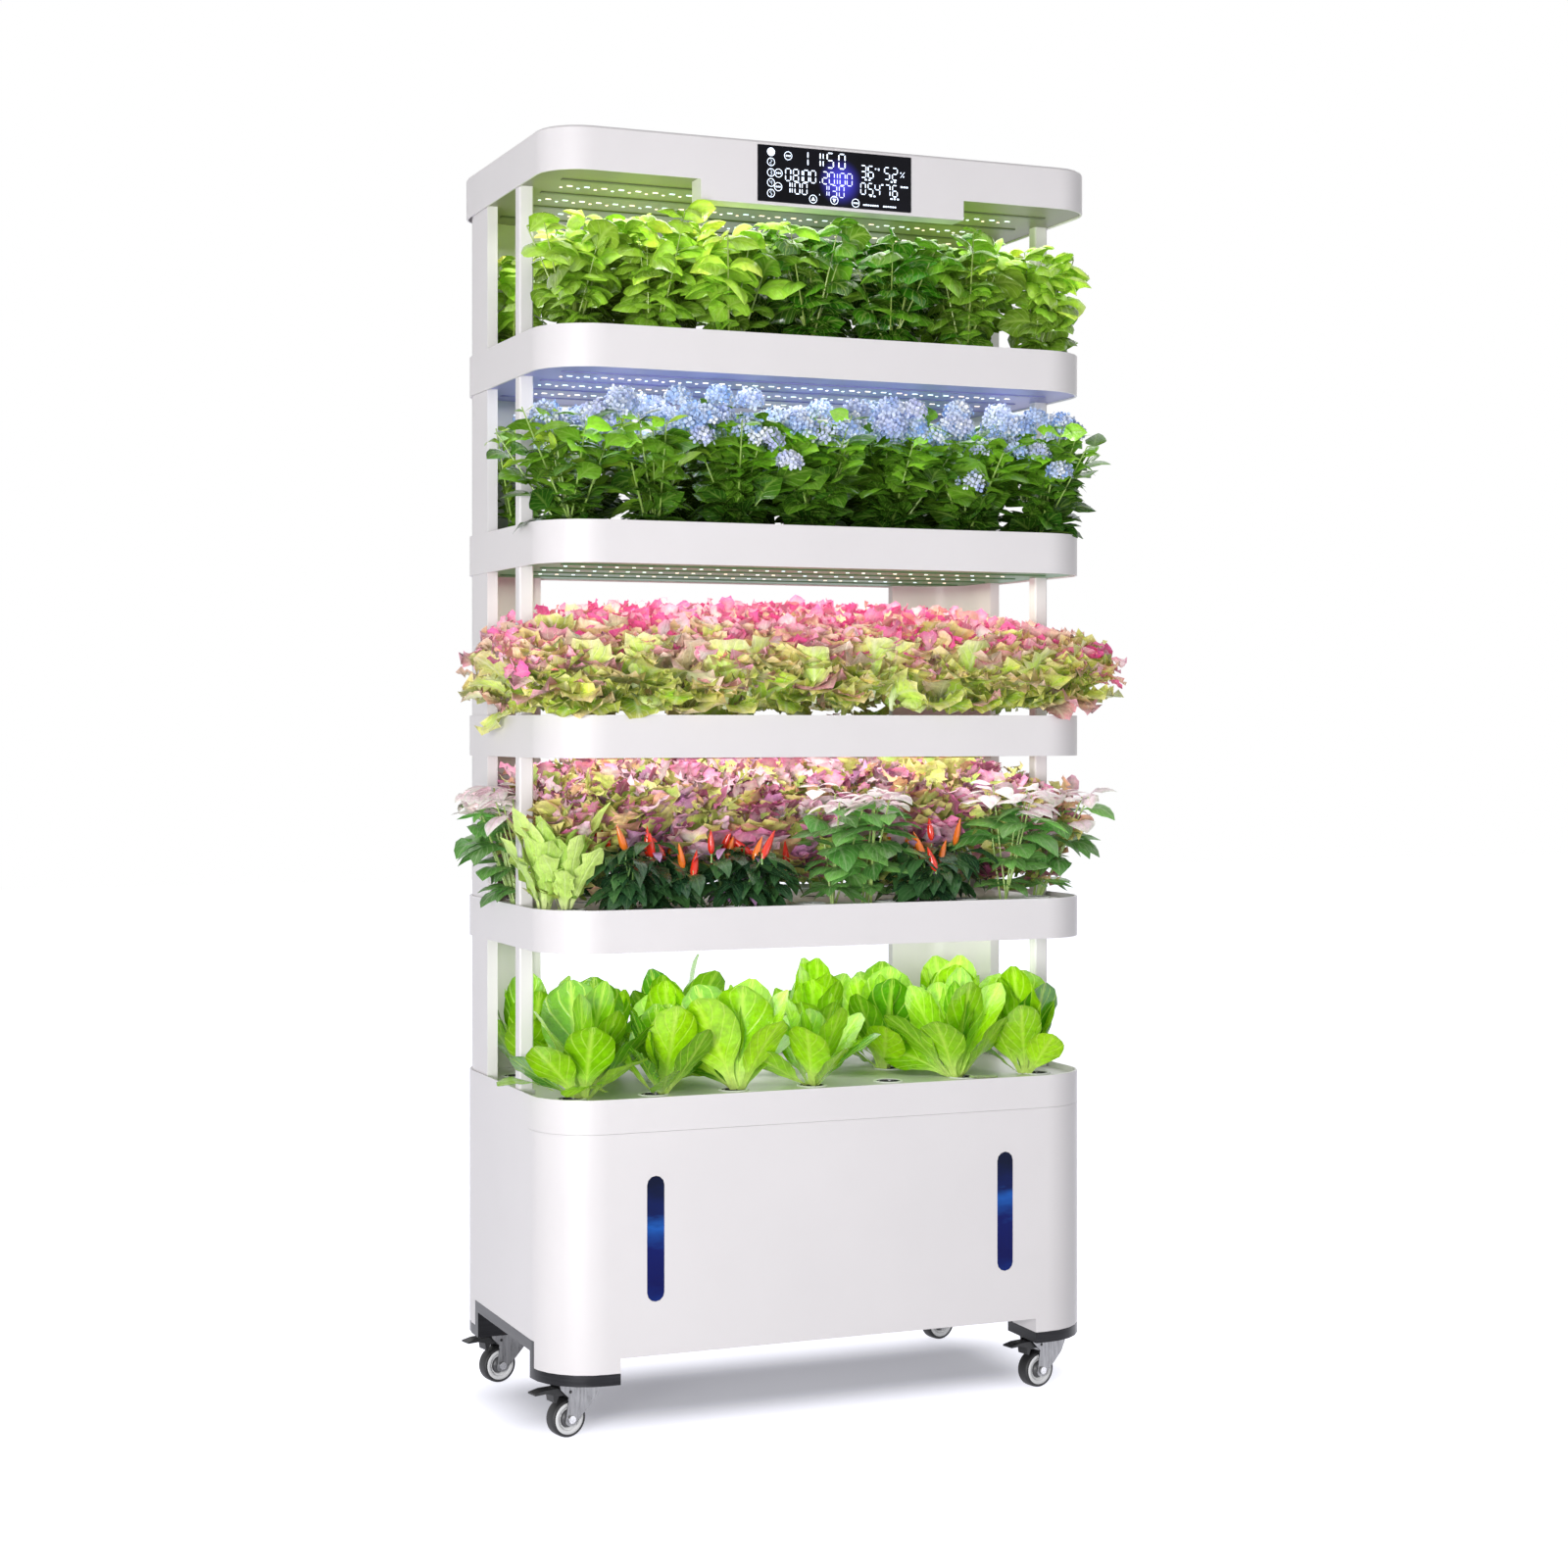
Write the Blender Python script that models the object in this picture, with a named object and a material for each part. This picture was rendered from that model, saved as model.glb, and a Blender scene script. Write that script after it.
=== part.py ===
"""Vertical hydroponic tower: a water tank on casters, four grow trays, a lamp hood and five crops.

Metres, +Z up. The origin lies on the floor under the middle of the tank; the front faces -Y.
"""

import math
import random

import bpy
from mathutils import Matrix, Vector

# Fits
GAP = 0.0003
OVERRUN = 0.010

# Body plan, shared by the tank, the trays and the hood
BODY_WIDTH = 0.800
BODY_DEPTH = 0.440
BODY_CORNER_R = 0.080
WALL = 0.003
CORNER_STEPS = 6
SMALL_CORNER_STEPS = 2

# Casters
WHEEL_DIAMETER = 0.050
TYRE_WIDTH = 0.020
TYRE_THICKNESS = 0.0047
TYRE_SHOULDER = 0.0020
TYRE_STEPS = 20
HUB_STEPS = 12
CROWN_STEPS = 12
HUB_RIM_INSET = 0.0010
HUB_RIM_THICKNESS = 0.0030
HUB_WEB_WIDTH = 0.010
HUB_BOSS_R = 0.0065
AXLE_R = 0.0030
BOLT_HEAD_R = 0.0055
BOLT_HEAD_HEIGHT = 0.0035
PIN_STEPS = 8
FORK_CLEARANCE = 0.0025
FORK_THICKNESS = 0.002
CROWN_CLEARANCE = 0.0187
CROWN_THICKNESS = 0.003
CROWN_R = 0.024
HORN_REACH = 0.030
AXLE_BOSS_R = 0.009
SWIVEL_GAP = 0.0005
KING_PIN_R = 0.0030
KING_PIN_HEAD_R = 0.0045
KING_PIN_HEAD_HEIGHT = 0.0023
MOUNT_DISC_R = 0.021
MOUNT_DISC_THICKNESS = 0.0025
STEM_R = 0.004
STEM_LENGTH = 0.010
TRAIL = 0.013
SWIVEL_ANGLE = math.radians(12)
CASTER_INSET_X = 0.054
CASTER_INSET_Y = 0.062

# Brake pedal of each caster
PEDAL_LENGTH = 0.050
PEDAL_HEIGHT = 0.0135
PEDAL_PIVOT_BEHIND = 0.001
PEDAL_PIVOT_BELOW_CROWN = 0.0077
PEDAL_PIN_R = 0.002

# Outlines in shares of the sizes that they follow
HORN_SHARES = [(1.00, 1.00), (0.97, 0.78), (0.75, 0.48), (0.33, 0.20)]
REAR_EDGE_SHARES = [(-0.62, 0.25), (-0.54, 0.60), (-0.95, 0.86), (-1.00, 1.00)]
PEDAL_SHARES = [
    (0.10, -0.26), (0.10, 0.32), (-0.20, 0.42), (-0.72, 0.40), (-1.00, 0.18), (-1.00, 0.00),
    (-0.66, 0.04), (-0.47, -0.18), (-0.44, -0.92), (-0.37, -1.00), (-0.30, -0.37), (-0.12, -0.34),
]

# Steel base under the tank
BAND = 0.0147
BAND_REACH = 0.040
LEG_WIDTH = 0.097
FRONT_LEG_DEPTH = 0.070
REAR_LEG_DEPTH = 0.096

# Water tank
TANK_HEIGHT = 0.355
SKIRT_RISE = 0.019
ARCH_RISE = 0.035
FLOOR_RISE = 0.037
RIB_LENGTH = 0.030
RIB_DEPTH = 0.022
WINDOW_WIDTH = 0.024
WINDOW_HEIGHT = 0.164
WINDOW_RISE = 0.089
WINDOW_INSET = 0.145
WINDOW_FLANGE = 0.004
WINDOW_FLANGE_THICKNESS = 0.002
WINDOW_STEPS = 6

# Deck on top of the tank
DECK_DROP = 0.008
FASCIA_HEIGHT = 0.045
FASCIA_REACH_TOP = 0.117
FASCIA_REACH_BOTTOM = 0.091

# Trays
TRAY_HEIGHT = 0.056
TRAY_PITCH = 0.253
FIRST_TRAY_RISE = 0.189
TRAY_COUNT = 4
TRAY_POCKET_DEPTH = 0.008
TROUGH_FLOOR_RISE = 0.0063
TROUGH_MARGIN = 0.006
BOARD_THICKNESS = 0.0035
BOARD_REAR_MARGIN = 0.0155

# Planting holes and net pots
HOLE_PITCH = 0.115
HOLE_ROW_PITCH = 0.125
POT_TOP_R = 0.0175
POT_BOTTOM_R = 0.013
POT_DEPTH = 0.034
POT_CLEARANCE = 0.001
POT_STEPS = 6

# Lamp plates
LAMP_PLATE_RISE = 0.002
LAMP_PLATE_THICKNESS = 0.004

# Front posts and rear columns
POST_SIZE = 0.020
POST_CORNER_R = 0.002
POST_FRONT_INSET = 0.142
COLLAR_MARGIN = 0.0025
COLLAR_HEIGHT = 0.007
COLUMN_THICKNESS = 0.015
COLUMN_SIDE_WIDTH = 0.1427
COLUMN_BACK_WIDTH = 0.117

# Hood, display and what is behind it
HOOD_CORNER_R = 0.060
HOOD_HEIGHT = 0.058
HOOD_EDGE = 0.003
HOOD_RIB_SPACING = 0.120
HOOD_RIB_LENGTH = 0.560
POD_WIDTH = 0.384
POD_DROP = 0.027
POD_DEPTH = 0.035
DISPLAY_WIDTH = 0.223
DISPLAY_HEIGHT = 0.074
DISPLAY_RISE = 0.005
DISPLAY_THICKNESS = 0.0045
DISPLAY_PROUD = 0.0015
CONTROLLER_WIDTH = 0.250
CONTROLLER_HEIGHT = 0.072
CONTROLLER_DEPTH = 0.026
INLET_WIDTH = 0.030
INLET_HEIGHT = 0.024
INLET_DEPTH = 0.020
INLET_WALL = 0.003
INLET_FLANGE = 0.003
INLET_FLANGE_THICKNESS = 0.0015
INLET_INSET = 0.200
INLET_RISE = 0.030

# Pump and riser pipe
PIPE_R = 0.006
PIPE_BORE_R = 0.004
PIPE_INSET = 0.100
PIPE_BEND_R = 0.014
PIPE_SPOUT_LENGTH = 0.010
PIPE_OVER_BOARD = 0.030
PIPE_STEPS = 8
PUMP_WIDTH = 0.070
PUMP_DEPTH = 0.050
PUMP_HEIGHT = 0.048
PUMP_CORNER_R = 0.008
PUMP_NECK_R = 0.009
PUMP_NECK_HEIGHT = 0.010

# Crops: free height under what is above, then each tier's outlines from the rim up to the top. An outline is
# its share of the height over the rim, then how far the leaves reach to the sides, as a share of the body's half
# width, and to the front and the rear, as shares of its half depth.
CROP_HEADROOMS = [0.042, 0.008, 0.033, 0.028, 0.009]
CROP_OUTLINE_SHARES = [
    [(0.05, 0.79, 0.68, 0.59), (0.24, 0.85, 0.87, 0.75), (0.46, 0.85, 0.86, 0.74), (0.68, 0.83, 0.83, 0.66),
     (0.84, 0.78, 0.73, 0.57), (0.94, 0.55, 0.50, 0.32)],
    [(0.04, 0.81, 0.83, 0.67), (0.24, 0.92, 0.87, 0.77), (0.47, 0.96, 0.77, 0.72), (0.70, 0.96, 0.75, 0.77),
     (0.83, 0.93, 0.61, 0.83), (0.92, 0.85, 0.48, 0.75), (0.97, 0.55, 0.27, 0.50)],
    [(0.05, 1.02, 1.01, 0.98), (0.24, 1.12, 1.06, 1.06), (0.46, 1.10, 1.01, 1.01), (0.61, 1.06, 0.95, 0.95),
     (0.72, 0.98, 0.85, 0.86), (0.83, 0.85, 0.61, 0.76), (0.92, 0.57, 0.27, 0.45)],
    [(0.05, 0.84, 0.75, 0.61), (0.24, 0.84, 0.85, 0.70), (0.47, 0.87, 1.01, 0.76), (0.71, 0.89, 1.04, 0.80),
     (0.85, 0.87, 0.98, 0.68), (0.94, 0.60, 0.59, 0.32)],
    [(0.05, 0.84, 0.74, 0.60), (0.23, 0.85, 0.85, 0.74), (0.47, 0.89, 0.95, 0.78), (0.74, 0.89, 0.99, 0.82),
     (0.87, 0.82, 0.84, 0.72), (0.94, 0.52, 0.50, 0.41)],
]
# Plants that stand out of the mixed crop: their places across and in depth and their reach, as shares of the
# body's half width, half depth and half depth, then their height as a share of the crop's. Their form is the
# reach and the height of its steps, from the foot up.
MIXED_TIER = 1
SWELL_SHARES = [(-0.955, -0.09, 0.265, 0.93), (0.13, -0.67, 0.34, 0.95), (0.81, -0.61, 0.38, 0.95)]
SWELL_FORM_SHARES = [(0.45, 0.02), (0.84, 0.30), (1.00, 0.56), (0.90, 0.82), (0.50, 1.00)]
SWELL_STEPS = 14
CROP_FOOT_MARGIN = 0.008
CROP_RIM_CLEARANCE = 0.006
CROP_POINTS = 26
CROP_LUMPS = 9
CROP_SQUARENESS = 0.46
CROP_SIDE_LUMP_SHARE = 0.035
CROP_TOP_LUMP_SHARE = 0.03
CROP_NAMES = [
    "crop_1_leaf_lettuce", "crop_2_peppers_and_oak_leaf", "crop_3_frilled_lettuce",
    "crop_4_hydrangea", "crop_5_basil",
]

# Heights worked out from the sizes above
AXLE_Z = WHEEL_DIAMETER / 2
FORK_INSIDE = TYRE_WIDTH + 2 * FORK_CLEARANCE
CROWN_BOTTOM_Z = WHEEL_DIAMETER + CROWN_CLEARANCE
CROWN_TOP_Z = CROWN_BOTTOM_Z + CROWN_THICKNESS
DISC_BOTTOM_Z = CROWN_TOP_Z + SWIVEL_GAP
DISC_TOP_Z = DISC_BOTTOM_Z + MOUNT_DISC_THICKNESS
FOOT_BOTTOM_Z = DISC_TOP_Z + GAP
LEG_BOTTOM_Z = FOOT_BOTTOM_Z + BAND + GAP
ARCH_TOP_Z = LEG_BOTTOM_Z + ARCH_RISE
SKIRT_BOTTOM_Z = LEG_BOTTOM_Z + SKIRT_RISE
FLOOR_BOTTOM_Z = LEG_BOTTOM_Z + FLOOR_RISE
FLOOR_TOP_Z = FLOOR_BOTTOM_Z + WALL
RIM_Z = LEG_BOTTOM_Z + TANK_HEIGHT
DECK_TOP_Z = RIM_Z - DECK_DROP
DECK_BOTTOM_Z = DECK_TOP_Z - WALL
FASCIA_BOTTOM_Z = RIM_Z - FASCIA_HEIGHT
TRAY_BOTTOMS = [RIM_Z + FIRST_TRAY_RISE + TRAY_PITCH * tier for tier in range(TRAY_COUNT)]
HOOD_BOTTOM_Z = RIM_Z + FIRST_TRAY_RISE + TRAY_PITCH * TRAY_COUNT
HOOD_TOP_Z = HOOD_BOTTOM_Z + HOOD_HEIGHT
HOOD_CEILING_Z = HOOD_TOP_Z - WALL
POD_BOTTOM_Z = HOOD_BOTTOM_Z - POD_DROP
FRAME_TOP_Z = HOOD_CEILING_Z - GAP

# Places in plan worked out from the sizes above
HALF_WIDTH = BODY_WIDTH / 2
HALF_DEPTH = BODY_DEPTH / 2
SHELL_INSET = WALL + GAP
POST_OUTER_X = HALF_WIDTH - SHELL_INSET
POST_INNER_X = POST_OUTER_X - POST_SIZE
POST_FRONT_Y = -HALF_DEPTH + POST_FRONT_INSET
POST_REAR_Y = POST_FRONT_Y + POST_SIZE
COLUMN_OUTER_X = HALF_WIDTH - SHELL_INSET
COLUMN_OUTER_Y = HALF_DEPTH - SHELL_INSET
COLUMN_INNER_X = COLUMN_OUTER_X - COLUMN_THICKNESS
COLUMN_INNER_Y = COLUMN_OUTER_Y - COLUMN_THICKNESS
COLUMN_FRONT_Y = COLUMN_OUTER_Y - COLUMN_SIDE_WIDTH
COLUMN_BACK_X = COLUMN_OUTER_X - COLUMN_BACK_WIDTH
BOARD_HALF_WIDTH = POST_INNER_X - COLLAR_MARGIN - GAP
BOARD_CORNER_R = BOARD_HALF_WIDTH - (HALF_WIDTH - BODY_CORNER_R)
BOARD_FRONT_Y = -HALF_DEPTH + SHELL_INSET
BOARD_REAR_Y = COLUMN_INNER_Y - BOARD_REAR_MARGIN
PIPE_X = -HALF_WIDTH + PIPE_INSET
PIPE_Y = COLUMN_INNER_Y - GAP - PIPE_R
INLET_X = -HALF_WIDTH + INLET_INSET
WINDOW_X = HALF_WIDTH - WINDOW_INSET
WEB_BOTTOM = TRAY_HEIGHT - TRAY_POCKET_DEPTH - WALL
WEB_TOP = TRAY_HEIGHT - TRAY_POCKET_DEPTH
BOARD_BOTTOM = WEB_TOP + GAP
BOARD_TOP = BOARD_BOTTOM + BOARD_THICKNESS
CROP_REACH_X = HALF_WIDTH * max(side for rings in CROP_OUTLINE_SHARES for _, side, _, _ in rings)
CROP_REACH_Y = HALF_DEPTH * max(max(front, rear) for rings in CROP_OUTLINE_SHARES for _, _, front, rear in rings)

WHITE = ("warm_white_plastic", (0.86, 0.83, 0.85), 0.32, 0.0)
BOARD_WHITE = ("board_white", (0.88, 0.88, 0.87), 0.45, 0.0)
LAMP_WHITE = ("lamp_plate_white", (0.86, 0.90, 0.84), 0.40, 0.0)
GUNMETAL = ("dark_brushed_steel", (0.10, 0.10, 0.10), 0.35, 0.9)
ZINC = ("zinc_plate", (0.55, 0.55, 0.55), 0.30, 1.0)
RUBBER = ("grey_rubber", (0.06, 0.06, 0.06), 0.60, 0.0)
HUB_GREY = ("hub_plastic", (0.62, 0.62, 0.62), 0.40, 0.0)
PEDAL_BLACK = ("pedal_black", (0.02, 0.02, 0.02), 0.40, 0.0)
WATER_BLUE = ("window_blue", (0.02, 0.07, 0.32), 0.10, 0.0)
SCREEN = ("display_glass", (0.01, 0.012, 0.03), 0.08, 0.0)
DARK_PLASTIC = ("dark_plastic", (0.03, 0.03, 0.03), 0.45, 0.0)
PIPE_GREY = ("pipe_grey", (0.35, 0.36, 0.37), 0.40, 0.0)
CROP_COLOURS = [
    ("leaf_bright_green", (0.33, 0.60, 0.03), 0.45, 0.0),
    ("leaf_mixed", (0.30, 0.22, 0.12), 0.50, 0.0),
    ("leaf_pink_and_lime", (0.62, 0.32, 0.22), 0.50, 0.0),
    ("leaf_dark_and_blue", (0.08, 0.20, 0.07), 0.50, 0.0),
    ("leaf_basil_green", (0.16, 0.40, 0.04), 0.45, 0.0),
]


def clear_scene():
    for item in list(bpy.data.objects):
        bpy.data.objects.remove(item, do_unlink=True)


def material(look):
    name, colour, roughness, metallic = look
    found = bpy.data.materials.get(name)
    if found:
        return found
    made = bpy.data.materials.new(name)
    made.use_nodes = True
    shader = made.node_tree.nodes["Principled BSDF"]
    shader.inputs["Base Color"].default_value = (*colour, 1.0)
    shader.inputs["Roughness"].default_value = roughness
    shader.inputs["Metallic"].default_value = metallic
    made.diffuse_color = (*colour, 1.0)
    return made


def new_object(name, points, faces):
    mesh = bpy.data.meshes.new(name)
    mesh.from_pydata([tuple(point) for point in points], [], faces)
    mesh.update()
    made = bpy.data.objects.new(name, mesh)
    bpy.context.scene.collection.objects.link(made)
    return made


def finish(piece, name, look):
    """Names a piece, shades its round faces smooth and gives it its material."""
    piece.name = name
    piece.data.name = name
    piece.data.materials.clear()
    piece.data.materials.append(material(look))
    piece.data.shade_smooth()
    piece.data.set_sharp_from_angle(angle=math.radians(35))
    return piece


def copy_piece(source, name, look, lift):
    """A further piece of the same mesh, raised by lift."""
    made = bpy.data.objects.new(name, source.data)
    bpy.context.scene.collection.objects.link(made)
    made.location.z = source.location.z + lift
    made.data.materials.clear()
    made.data.materials.append(material(look))
    return made


def signed_area(outline):
    pairs = zip(outline, outline[1:] + outline[:1])
    return sum(a[0] * b[1] - b[0] * a[1] for a, b in pairs) / 2


def stack(rings):
    """A closed solid through rings of equal count, given bottom to top as (outline, z)."""
    count = len(rings[0][0])
    turn = 1 if signed_area(rings[0][0]) > 0 else -1
    points = [(x, y, z) for outline, z in rings for x, y in outline[::turn]]
    faces = [tuple(reversed(range(count)))]
    for level in range(len(rings) - 1):
        low = level * count
        for step in range(count):
            after = (step + 1) % count
            faces.append((low + step, low + after, low + count + after, low + count + step))
    last = (len(rings) - 1) * count
    faces.append(tuple(range(last, last + count)))
    return new_object("stack", points, faces)


def prism(outline, low, high):
    return stack([(outline, low), (outline, high)])


def box(low, high):
    return prism([(low[0], low[1]), (high[0], low[1]), (high[0], high[1]), (low[0], high[1])], low[2], high[2])


def turned(profile, steps, axis_closed):
    """A solid of revolution about Z. The profile lists (radius, z), bottom to top along the outside."""
    offset = math.pi / steps
    spokes = [(math.cos(offset + math.tau * k / steps), math.sin(offset + math.tau * k / steps))
              for k in range(steps)]
    points = []
    faces = []
    for radius, z in profile:
        points += [(radius * x, radius * y, z) for x, y in spokes]
    rows = len(profile)
    spans = rows - 1 if axis_closed else rows
    for row in range(spans):
        low = row * steps
        high = ((row + 1) % rows) * steps
        for k in range(steps):
            after = (k + 1) % steps
            faces.append((low + k, low + after, high + after, high + k))
    if axis_closed:
        faces.append(tuple(reversed(range(steps))))
        faces.append(tuple(range((rows - 1) * steps, rows * steps)))
    return new_object("turned", points, faces)


def cylinder(centre, radius, low, high, steps):
    piece = turned([(radius, low), (radius, high)], steps, True)
    move(piece, Matrix.Translation((centre[0], centre[1], 0)))
    return piece


def cross_cylinder(x, z, radius, half_length, steps):
    """A cylinder along Y through the point x, z."""
    piece = turned([(radius, -half_length), (radius, half_length)], steps, True)
    move(piece, Matrix.Translation((x, 0, z)) @ Matrix.Rotation(math.pi / 2, 4, "X"))
    return piece


def move(piece, matrix):
    piece.data.transform(matrix)
    piece.data.update()


def boolean(target, other, operation):
    """Works the other solid into the target, then removes it."""
    modifier = target.modifiers.new("work", "BOOLEAN")
    modifier.operation = operation
    modifier.solver = "EXACT"
    modifier.object = other
    bpy.context.view_layer.update()
    graph = bpy.context.evaluated_depsgraph_get()
    result = bpy.data.meshes.new_from_object(target.evaluated_get(graph))
    target.modifiers.clear()
    old = target.data
    target.data = result
    bpy.data.meshes.remove(old)
    bpy.data.objects.remove(other, do_unlink=True)


def cut(target, other):
    boolean(target, other, "DIFFERENCE")


def join(target, other):
    boolean(target, other, "UNION")


def merge_bodies(pieces):
    """One mesh of several separate bodies, for one boolean step."""
    points = []
    faces = []
    for piece in pieces:
        start = len(points)
        points += [vertex.co.copy() for vertex in piece.data.vertices]
        faces += [tuple(start + index for index in polygon.vertices) for polygon in piece.data.polygons]
        bpy.data.objects.remove(piece, do_unlink=True)
    return new_object("bodies", points, faces)


def arc(centre, radius, start, end, steps):
    angles = [start + (end - start) * step / steps for step in range(steps + 1)]
    return [(centre[0] + radius * math.cos(a), centre[1] + radius * math.sin(a)) for a in angles]


def rounded_box_outline(low, high, radii, steps=CORNER_STEPS):
    """Counter-clockwise from the low corner; radii for low-low, high-low, high-high and low-high."""
    corners = [(low[0], low[1]), (high[0], low[1]), (high[0], high[1]), (low[0], high[1])]
    inward = [(1, 1), (-1, 1), (-1, -1), (1, -1)]
    outline = []
    for index, (corner, lean, radius) in enumerate(zip(corners, inward, radii)):
        if radius <= 0:
            outline.append(corner)
            continue
        centre = (corner[0] + lean[0] * radius, corner[1] + lean[1] * radius)
        start = math.pi + index * math.pi / 2
        outline += arc(centre, radius, start, start + math.pi / 2, steps)
    return outline


def body_outline(inset, front_r=BODY_CORNER_R, rear_r=BODY_CORNER_R):
    low = (-HALF_WIDTH + inset, -HALF_DEPTH + inset)
    high = (HALF_WIDTH - inset, HALF_DEPTH - inset)
    front, rear = front_r - inset, rear_r - inset
    return rounded_box_outline(low, high, [front, front, rear, rear])


def hood_outline(inset):
    return body_outline(inset, HOOD_CORNER_R, HOOD_CORNER_R)


def board_outline(inset, steps=CORNER_STEPS):
    low = (-BOARD_HALF_WIDTH + inset, BOARD_FRONT_Y + inset)
    high = (BOARD_HALF_WIDTH - inset, BOARD_REAR_Y - inset)
    return rounded_box_outline(low, high, [BOARD_CORNER_R - inset] * 4, steps)


def mirror_plan(outline, side):
    return [(side * x, y) for x, y in outline]


def post_outline(side, grow):
    low = (POST_INNER_X - grow, POST_FRONT_Y - grow)
    high = (POST_OUTER_X + grow, POST_REAR_Y + grow)
    return mirror_plan(rounded_box_outline(low, high, [POST_CORNER_R + grow] * 4, 1), side)


def column_outline(side, grow):
    """An L in plan: a side wall and a back panel joined by the body's round corner."""
    outer_r = BODY_CORNER_R - SHELL_INSET
    centre = (COLUMN_OUTER_X - outer_r, COLUMN_OUTER_Y - outer_r)
    outer = arc(centre, outer_r + grow, 0, math.pi / 2, CORNER_STEPS)
    inner = arc(centre, outer_r - COLUMN_THICKNESS - grow, math.pi / 2, 0, CORNER_STEPS)
    front_end = [(COLUMN_INNER_X - grow, COLUMN_FRONT_Y - grow), (COLUMN_OUTER_X + grow, COLUMN_FRONT_Y - grow)]
    back_end = [(COLUMN_BACK_X - grow, COLUMN_OUTER_Y + grow), (COLUMN_BACK_X - grow, COLUMN_INNER_Y - grow)]
    return mirror_plan(front_end + outer + back_end + inner, side)


def hole_places():
    """Planting places in staggered rows, as many as the trough holds."""
    room = TROUGH_MARGIN + WALL + POT_TOP_R + POT_CLEARANCE
    middle = (BOARD_FRONT_Y + BOARD_REAR_Y) / 2
    widest = 1 + int(2 * (BOARD_HALF_WIDTH - room) / HOLE_PITCH)
    rows = 1 + int((BOARD_REAR_Y - BOARD_FRONT_Y - 2 * room) / HOLE_ROW_PITCH)
    places = []
    for row in range(rows):
        count = widest - row % 2
        y = middle + (row - (rows - 1) / 2) * HOLE_ROW_PITCH
        places += [((k - (count - 1) / 2) * HOLE_PITCH, y) for k in range(count)]
    return places


def planting_holes(low, high):
    radius = POT_TOP_R + POT_CLEARANCE
    return merge_bodies([cylinder(place, radius, low, high, POT_STEPS) for place in hole_places()])


def cut_posts(piece, low, high):
    for side in (-1, 1):
        cut(piece, prism(post_outline(side, GAP), low, high))


def cut_columns(piece, low, high):
    for side in (-1, 1):
        cut(piece, prism(column_outline(side, GAP), low, high))


def cut_pipe(piece, low, high):
    cut(piece, cylinder((PIPE_X, PIPE_Y), PIPE_R + GAP, low, high, PIPE_STEPS))


# Casters


def caster_mount():
    head_bottom = CROWN_BOTTOM_Z - SWIVEL_GAP - KING_PIN_HEAD_HEIGHT
    profile = [
        (KING_PIN_HEAD_R, head_bottom), (KING_PIN_HEAD_R, CROWN_BOTTOM_Z - SWIVEL_GAP),
        (KING_PIN_R, CROWN_BOTTOM_Z - SWIVEL_GAP), (KING_PIN_R, DISC_BOTTOM_Z),
        (MOUNT_DISC_R, DISC_BOTTOM_Z), (MOUNT_DISC_R, DISC_TOP_Z),
        (STEM_R, DISC_TOP_Z), (STEM_R, DISC_TOP_Z + STEM_LENGTH),
    ]
    return turned(profile, PIN_STEPS, True)


def pedal_pivot():
    return -TRAIL - PEDAL_PIVOT_BEHIND, CROWN_BOTTOM_Z - PEDAL_PIVOT_BELOW_CROWN


def side_profile(outline, half_width):
    """A solid from an outline of (x, z) points, drawn out along Y to both sides."""
    piece = prism(outline, -half_width, half_width)
    move(piece, Matrix.Rotation(math.pi / 2, 4, "X"))
    return piece


def caster_fork():
    rise = CROWN_TOP_Z - AXLE_Z
    horn = [(x * HORN_REACH, AXLE_Z + z * rise) for x, z in HORN_SHARES]
    rear = [(x * HORN_REACH, AXLE_Z + z * rise) for x, z in REAR_EDGE_SHARES]
    boss = arc((-TRAIL, AXLE_Z), AXLE_BOSS_R, math.radians(-20), math.radians(-160), CORNER_STEPS)
    half_inside = FORK_INSIDE / 2
    half_outside = half_inside + FORK_THICKNESS
    piece = side_profile(horn + boss + rear, half_outside)
    cut(piece, box((-HORN_REACH - OVERRUN, -half_inside, -OVERRUN),
                   (HORN_REACH + OVERRUN, half_inside, CROWN_BOTTOM_Z)))
    join(piece, cylinder((0, 0), CROWN_R, CROWN_BOTTOM_Z, CROWN_TOP_Z, CROWN_STEPS))
    cut(piece, cylinder((0, 0), KING_PIN_R + GAP, CROWN_BOTTOM_Z - OVERRUN, CROWN_TOP_Z + OVERRUN, PIN_STEPS))
    reach = half_outside + OVERRUN
    cut(piece, cross_cylinder(-TRAIL, AXLE_Z, AXLE_R + GAP, reach, PIN_STEPS))
    pivot_x, pivot_z = pedal_pivot()
    cut(piece, cross_cylinder(pivot_x, pivot_z, PEDAL_PIN_R + GAP, reach, PIN_STEPS))
    return piece


def lay_along_y(piece):
    move(piece, Matrix.Rotation(math.pi / 2, 4, "X"))
    return piece


def axle_bolt():
    inner = FORK_INSIDE / 2 + FORK_THICKNESS + GAP
    outer = inner + BOLT_HEAD_HEIGHT
    profile = [(BOLT_HEAD_R, -outer), (BOLT_HEAD_R, -inner), (AXLE_R, -inner),
               (AXLE_R, inner), (BOLT_HEAD_R, inner), (BOLT_HEAD_R, outer)]
    return lay_along_y(turned(profile, PIN_STEPS, True))


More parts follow.
